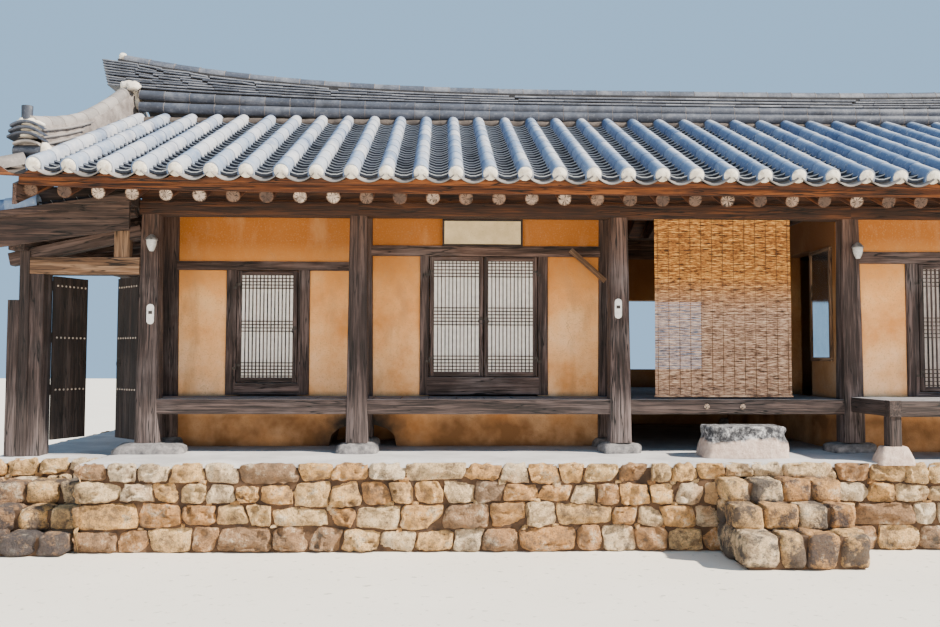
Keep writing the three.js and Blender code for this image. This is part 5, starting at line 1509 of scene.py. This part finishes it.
for n, d in DOORS.items():
    face = d["line"] - PROUD
    low, high = d["sill"][1], d["rail"][0]
    deep = (face, d["line"] - 0.01)
    x0, x1 = d["open"]
    wood = [plank(COLUMN_X[n - 1] + 0.075, COLUMN_X[n] - 0.075, *deep, *d["rail"], 0, tone=0.2),
            plank(d["jambs"][0], x0, *deep, d["sill"][0], high + 0.002, 2, tone=0.3),
            plank(x1, d["jambs"][1], *deep, d["sill"][0], high + 0.002, 2, tone=0.3),
            plank(x0 - 0.02, x1 + 0.02, *deep, *d["sill"], 0, tone=0.1)]
    node = "window_5" if n == 5 else f"door_frame_{n}"
    make(f"opening_{n}_timbers", wood, old_timber, replaces=[node])
    bottom, top = low + LEAF_GAP, high - LEAF_GAP
    middle = (x0 + x1) / 2
    if n == 5:
        spans = [(x0 - 0.002, x1 + 0.002)]
        bottom, top, face = low - 0.002, high + 0.002, face + 0.02
    elif len(d["leaves"]) == 1:
        spans = [(x0 + LEAF_GAP, x1 - LEAF_GAP)]
    else:
        spans = [(x0 + LEAF_GAP, middle - MEETING_GAP / 2), (middle + MEETING_GAP / 2, x1 - LEAF_GAP)]
    hinge_x = [(x0 + LEAF_GAP / 2, 1), (x1 - LEAF_GAP / 2, -1)]
    iron_on_frame = []
    for k, (span, body) in enumerate(zip(spans, d["leaves"])):
        wood, sheet_of_paper = lattice(*span, face, bottom, top, d["bars"], d["bands"])
        name = f"window_{n}" if body == "house" else body
        hides = [] if body == "house" else [f"door_{body}"]
        make(f"{name}_lattice", wood, old_timber, body=body, replaces=hides)
        make(f"{name}_paper", sheet_of_paper, paper if n < 3 else shaded_paper, body=body)
        if body == "house":
            continue
        x, way = hinge_x[k]
        iron = []
        for share in (0.14, 0.86):
            z = low + share * (high - low)
            iron += strap(x, face, z, way, True)
            iron_on_frame += strap(x, face, z, -way, False)
        grip = span[1] - 0.022 if way > 0 else span[0] + 0.022
        iron += ring_handle(grip, face, low + 0.46 * (high - low))
        make(f"{name}_iron", iron, wrought_iron, body=body)
    if iron_on_frame:
        make(f"opening_{n}_iron", iron_on_frame, wrought_iron)

# %% [markdown]
# The gate's leaves are upright planks nailed to ledges. Pale nail heads mark the ledges, and a
# ring hangs on each leaf. The leaves stand open, so each is made closed and then turned.

# %% Gate leaves
GATE_PLANK, GATE_BOTTOM, GATE_TOP = 0.045, 0.875, 2.44
GATE_WIDTH, LEDGE_HEIGHTS, STUDS_PER_LEDGE = 0.4345, (1.35, 1.85, 2.35), 8
GATE_HINGES = {"gate_left": (-6.594, -1.755, 1, 68), "gate_right": (-5.721, -1.755, -1, 45)}


def turned(shape, x, y, degrees):
    """The shape turned about the upright line at (x, y)."""
    c, s = math.cos(math.radians(degrees)), math.sin(math.radians(degrees))
    spin = np.array([[c, -s, 0], [s, c, 0], [0, 0, 1]])
    return shape._replace(points=shape.points @ spin.T + [x, y, 0])


def gate_leaf(side):
    """Three planks, three ledges behind, nail heads in rows and a ring, about the hinge line."""
    cuts = np.linspace(0.001, GATE_WIDTH - 0.001, 4)
    wood = []
    for a, b in zip(cuts[:-1], cuts[1:]):
        x0, x1 = sorted((side * (a + 0.001), side * (b - 0.001)))
        wood.append(plank(x0, x1, -GATE_PLANK, -0.014, GATE_BOTTOM, GATE_TOP, 2, **PLANED))
    studs = []
    for z in LEDGE_HEIGHTS:
        x0, x1 = sorted((side * 0.012, side * (GATE_WIDTH - 0.012)))
        wood.append(plank(x0, x1, -0.016, 0.0, z - 0.05, z + 0.05, 0, **PLANED))
        for x in np.linspace(0.04, GATE_WIDTH - 0.04, STUDS_PER_LEDGE):
            studs.append(boulder((side * x, -GATE_PLANK, z), (0.01, 0.008, 0.01), 3, 0.9, 0.0, 0.5, 5, 8))
    rings = ring_handle(side * (GATE_WIDTH - 0.06), -GATE_PLANK, 1.6, 0.04)
    return wood, studs, rings


for body, (x, y, side, opened) in GATE_HINGES.items():
    wood, studs, rings = gate_leaf(side)
    swing = side * opened
    make(f"{body}_planks", turned(stacked(wood), x, y, swing), dark_timber, body=body,
         replaces=[body.replace("gate_", "gate_leaf_")])
    make(f"{body}_studs", turned(stacked(studs), x, y, swing), worn_iron, body=body)
    make(f"{body}_ring", turned(stacked(rings), x, y, swing), wrought_iron, body=body)

# %% [markdown]
# The gate's own frame is heavy and dark, with a lintel that the sun has bleached. A shorter
# board stands against the outer post. The head beam slopes up to the house, and the lean-to's
# rafters lie on two plates.

# %% Gate frame
COLUMN_FACE = -5.702
POST_LEFT, POST_RIGHT, POST_TOP, SHORT_POST_TOP = -6.92, -6.72, 2.662, 2.2
JAMB_LEFT, JAMB_RIGHT, JAMB_TOP, LINTEL_BOTTOM = -6.722, -6.5955, 2.449, 2.448
OUTER_PLATE = (-6.895, -6.745, -2.0, 2.0, 2.66, 2.809)
HOUSE_PLATE = (-5.792, -5.706, FRONT_Y + 0.04, BACK_Y - 0.04, 2.88, 2.9747)


def sloping(y0, y1):
    """The head beam that rises from the outer post to the house."""
    start, end = (POST_LEFT - 0.01, (y0 + y1) / 2, 2.585), (COLUMN_FACE, (y0 + y1) / 2, 2.865)
    return piece_of_timber(start, end, y1 - y0, 0.127, tone=0.8)


dark_parts = [
    plank(POST_LEFT + 0.1, POST_RIGHT, FRONT_Y - 0.085, FRONT_Y + 0.07, GATE_FLOOR, POST_TOP, 2, tone=1.2),
    plank(POST_LEFT, POST_LEFT + 0.107, FRONT_Y - 0.09, FRONT_Y + 0.07, GATE_FLOOR, SHORT_POST_TOP,
          2, tone=0.8),
    plank(POST_LEFT, POST_RIGHT, BACK_Y - 0.09, BACK_Y + 0.07, GATE_FLOOR, POST_TOP, 2, tone=0.9),
    plank(JAMB_LEFT, JAMB_RIGHT, FRONT_Y - 0.07, FRONT_Y + 0.135, GATE_FLOOR, JAMB_TOP, 2, tone=0.6,
          **PLANED),
    plank(JAMB_LEFT, COLUMN_FACE, FRONT_Y + 0.038, FRONT_Y + 0.15, LINTEL_BOTTOM, 2.54, 0, tone=0.8),
    plank(*OUTER_PLATE, 1),
    plank(*HOUSE_PLATE, 1),
    sloping(FRONT_Y - 0.06, FRONT_Y + 0.06), sloping(BACK_Y - 0.06, BACK_Y + 0.06),
]
make("gate_timbers", dark_parts, old_timber, replaces=["gate_frame"])
pale_parts = [plank(JAMB_LEFT, COLUMN_FACE, FRONT_Y - 0.08, FRONT_Y + 0.04, LINTEL_BOTTOM, 2.609, 0,
                    tone=0.5),
              plank(-5.95, -5.805, FRONT_Y - 0.07, FRONT_Y + 0.04, 2.6, 2.86, 2, tone=0.5)]
make("gate_lintel", pale_parts, pale_timber)

# %% [markdown]
# The lean-to has a small roof of the same two kinds of tile. It starts under the main eave and
# runs down to the left. A board closes the gap between its tiles and the rafters above.

# %% Tiles of the lean-to
LEAN_SLOPE, LEAN_END, LEAN_LOW = 0.15, 2.84, -7.33
LEAN_TOP_X, TROUGH_EDGE_X, LEAN_EDGE_X, LEAN_ROWS, LEAN_COVER_RISE = -6.0, -7.39, -7.4, 15, 0.056


def lean_height(x):
    """The top of the lean-to's clay at x."""
    return LEAN_END + LEAN_SLOPE * (x - LEAN_LOW) + 0.09


def lean_tiles():
    """Cover rows and troughs that run down to the left, from the gable to the lean-to's edge. The
    outermost rows start where the main eave ends."""
    rows = np.linspace(-2.14, 2.14, LEAN_ROWS)

    def runs(ys, xs, rise):
        """Upper and lower ends of the tiles in rows at ys, laid from one x to the next."""
        y, upper = np.meshgrid(ys, xs[:-1], indexing="ij")
        lower = np.broadcast_to(xs[1:], y.shape)
        kept = (np.abs(y) < 2.0) | (upper < -6.5)
        return [points_at(x[kept], y[kept], lean_height(x[kept]) + rise) for x in (upper, lower)]

    starts, ends = runs(rows, np.linspace(LEAN_TOP_X, LEAN_EDGE_X, 6), LEAN_COVER_RISE)
    covers = copies(*cover_unit(0.066, 0.055), starts, ends, -Y_AXIS, chance.uniform(0.0, 0.45, len(starts)))
    gaps = (rows[:-1] + rows[1:]) / 2
    starts, ends = runs(gaps, np.linspace(LEAN_TOP_X, TROUGH_EDGE_X, 13), 0.004)
    troughs = copies(*trough_unit(0.235, 0.035, 0.018), starts, ends, -Y_AXIS,
                     chance.uniform(0, 0.2, len(starts)), TROUGH_RIM_LIGHT_AND_SHADE)
    starts = points_at(LEAN_EDGE_X, rows, lean_height(LEAN_EDGE_X) + LEAN_COVER_RISE)
    plug, quads = lime_plug(0.062, 2.0)
    plugs = copies(plug, quads, starts, starts - [0.01, 0, 0.0015], -Y_AXIS, chance.uniform(size=LEAN_ROWS))
    return covers, troughs, plugs


covers, troughs, plugs = lean_tiles()
make("lean_to_covers", covers, cover_tile, crease=50)
make("lean_to_troughs", troughs, trough_tile, crease=35)
make("lean_to_plugs", plugs, lime_white, crease=75)
closing = [piece_of_timber((-6.63, y, 3.165), (-5.72, y, 3.235), 0.03, 0.185, taper=0.3)
           for y in (-2.02, 2.02)]
make("lean_to_boards", closing, dark_timber)

# %% [markdown]
# A blind of split reed hangs in the hall's opening. Each slat is its own thin bar that sags
# and wanders a little, and brown threads bind them at even steps.

# %% Reed blind
blind_low, blind_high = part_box("reed_blind")
middle_y = (blind_low.y + blind_high.y) / 2
SLAT_PITCH, SLAT_HALF_DEPTH, SLAT_HALF_HEIGHT, THREADS = 0.0082, 0.0022, 0.0034, 13


def slats():
    """Bars along X: a diamond outline carried over ten stations, with heights moved by chance."""
    count = int((blind_high.z - blind_low.z) / SLAT_PITCH)
    x = np.linspace(blind_low.x, blind_high.x, 10)
    outline = [(SLAT_HALF_DEPTH, 0), (0, SLAT_HALF_HEIGHT), (-SLAT_HALF_DEPTH, 0), (0, -SLAT_HALF_HEIGHT)]
    shapes = []
    for k in range(count):
        sway = ripple(points_at(x * 2, k, 0), 1.1, 71 + k)
        z = blind_low.z + 0.004 + k * SLAT_PITCH + 0.0013 * sway
        bow = 0.004 * np.sin(k / 23.0)
        path = points_at(x, middle_y + bow, z)
        shapes.append(carried(outline, path, Y_AXIS, Z_AXIS, tone=float(chance.uniform(0.25, 0.75))))
    return shapes


make("blind_slats", slats(), reed, replaces=["reed_blind"], crease=30)
cords = [block(x - 0.0012, x + 0.0012, middle_y - 0.0062, middle_y + 0.0062, blind_low.z, blind_high.z)
         for x in np.linspace(blind_low.x + 0.03, blind_high.x - 0.03, THREADS)]
make("blind_threads", cords, thread)
rod = [(x, middle_y, blind_low.z + 0.004) for x in (blind_low.x - 0.01, blind_high.x + 0.01)]
make("blind_rod", carried(circle(0.009, 12), rod, Y_AXIS, Z_AXIS), reed)

# %% [markdown]
# Last come the fittings: a bare cream board over the second bay, a mirror in a wooden frame on
# the hall's wall, small zinc lamps and enamel plates on two columns, and a prop by the third.

# %% Signboard, mirror, lamps and plates
def panel_frame(low, high, width, across):
    """Four strips round a panel that stands across the axis 0 (facing X) or 1 (facing Y)."""
    edge = 1 - across
    strips = []
    for axis in (edge, 2):
        for first in (low[axis], high[axis] - width):
            a, b = list(low), list(high)
            a[axis], b[axis] = first, first + width
            box = [value for pair in zip(a, b) for value in pair]
            strips.append(plank(*box, 2 if axis == edge else edge, radius=0.003, wear=0.0005))
    return stacked(strips)


SIGN_RIM, MIRROR_RIM = 0.012, 0.03
sign_low, sign_high = corners_of("signboard")
panel = block(sign_low[0] + SIGN_RIM, sign_high[0] - SIGN_RIM, sign_low[1] + 0.008, sign_high[1],
              sign_low[2] + SIGN_RIM, sign_high[2] - SIGN_RIM)
make("sign_panel", panel, sign_cream, replaces=["signboard"])
make("sign_rim", panel_frame(sign_low, sign_high, 0.02, 1), dark_timber)

mirror_low, mirror_high = corners_of("wall_mirror")
glass = block(mirror_low[0] + 0.01, mirror_high[0], mirror_low[1] + MIRROR_RIM, mirror_high[1] - MIRROR_RIM,
              mirror_low[2] + MIRROR_RIM, mirror_high[2] - MIRROR_RIM)
make("mirror_glass", glass, silvered, replaces=["wall_mirror"])
make("mirror_rim", panel_frame(mirror_low, mirror_high, 0.04, 0), pale_timber)


COLUMN_FRONT = FRONT_Y - 0.088


def lamp(x, top):
    """A wall lamp: an arm from the column, a cone of zinc and a bell of glass under it."""
    face = COLUMN_FRONT
    arm = [(x, face + 0.01, top - 0.01), (x, face - 0.075, top + 0.01)]
    metal = [carried(circle(0.01, 10), arm, X_AXIS, Z_AXIS, tone=0.5)]
    heights = np.array([0.045, 0.035, 0.005, -0.01])
    centres = points_at(x, face - 0.09, top + heights[::-1])
    metal.append(carried(circle(1.0, 18), centres, X_AXIS, Y_AXIS, [0.058, 0.052, 0.024, 0.012]))
    drop = np.linspace(0, 1, 7)
    centres = points_at(x, face - 0.09, top - 0.115 + 0.108 * drop)
    bell = carried(circle(1.0, 18), centres, X_AXIS, Y_AXIS, 0.018 + 0.03 * np.sin(drop * 1.9))
    return metal, bell


metal, bells = [], []
for x, top in ((-5.56, 2.77), (1.15, 2.74)):
    more, bell = lamp(x, top)
    metal += more
    bells.append(bell)
make("lamp_metal", metal, zinc)
make("lamp_bells", bells, lamp_glass)
PLATE_PLACES, PLATE_LIFT = [(-5.585, 1.975), (-1.15, 2.045)], 0.095
plates, insets = [], []
for x, z in PLATE_PLACES:
    path = [(x, y, z + PLATE_LIFT) for y in (COLUMN_FRONT, FRONT_Y - 0.101)]
    plates.append(carried(rounded_outline(0.068, 0.19, 0.033, 5), path, X_AXIS, Z_AXIS))
    insets.append(block(x - 0.018, x + 0.018, FRONT_Y - 0.103, FRONT_Y - 0.1, z + PLATE_LIFT, z + 0.125))
make("column_plates", plates, enamel)
make("plate_insets", insets, wrought_iron)
prop = piece_of_timber((-1.525, PORCH_Y - 0.17, 2.77), (-1.17, PORCH_Y - 0.17, 2.455), 0.045, 0.052,
                       radius=0.006, tone=0.1)
make("door_prop", prop, pale_timber)

# %% [markdown]
# The stage is a pale floor and soft light. The sun stands high on the right, in front of the
# house, so the rows of tiles show a lit flank and a blue shaded one. Pale ground throws warm
# light back up under the eaves, and a broad weak lamp at the viewer's back stands for it. The
# camera stands at head height in the yard, as the photograph was taken.

# %% Stage, light and camera
FLOOR_REACH, FLOOR_Z = 60, -0.002
floor_mesh = bpy.data.meshes.new("floor")
floor_mesh.from_pydata([(x * FLOOR_REACH, y * FLOOR_REACH, FLOOR_Z)
                        for x, y in ((-1, -1), (1, -1), (1, 1), (-1, 1))], [], [(0, 1, 2, 3)])
floor_mesh.materials.append(mottled("pale floor", (0.8, 0.75, 0.66), (0.76, 0.71, 0.62), 0.8, 12.0, 0.001))
floor = bpy.data.objects.new("floor", floor_mesh)
bpy.context.scene.collection.objects.link(floor)

world = bpy.data.worlds.new("soft sky")
world.use_nodes = True
sky = world.node_tree.nodes["Background"].inputs
sky["Color"].default_value = (0.42, 0.69, 1.0, 1)
sky["Strength"].default_value = 0.95
bpy.context.scene.world = world


def lamp_object(name, kind, energy, colour, place, turn):
    """Adds a light at a place, turned by three angles in degrees."""
    light = bpy.data.lights.new(name, kind)
    light.energy, light.color = energy, colour
    holder = bpy.data.objects.new(name, light)
    holder.location, holder.rotation_euler = place, [math.radians(angle) for angle in turn]
    bpy.context.scene.collection.objects.link(holder)
    return light


sun = lamp_object("soft sun", "SUN", 13.2, (1.0, 0.91, 0.78), (0, 0, 20), (50, 0, 68))
sun.angle = math.radians(2)
bounce = lamp_object("bounce", "AREA", 2040, (1.0, 0.79, 0.56), (-1.0, -16, 0.5), (97, 0, 0))
bounce.shape, bounce.size, bounce.size_y = "RECTANGLE", 24, 1.4

camera = bpy.data.cameras.new("yard camera")
camera.sensor_width = 36.0
camera.lens = 34.39
camera_object = bpy.data.objects.new("yard camera", camera)
camera_object.location = (-2.842, -10.488, 1.665)
camera_object.rotation_mode = "XYZ"
camera_object.rotation_euler = (math.radians(90 + 2.83), math.radians(-0.14), math.radians(-1.82))
bpy.context.scene.collection.objects.link(camera_object)
bpy.context.scene.camera = camera_object
print("lights", len(bpy.data.lights), "lens", camera.lens)
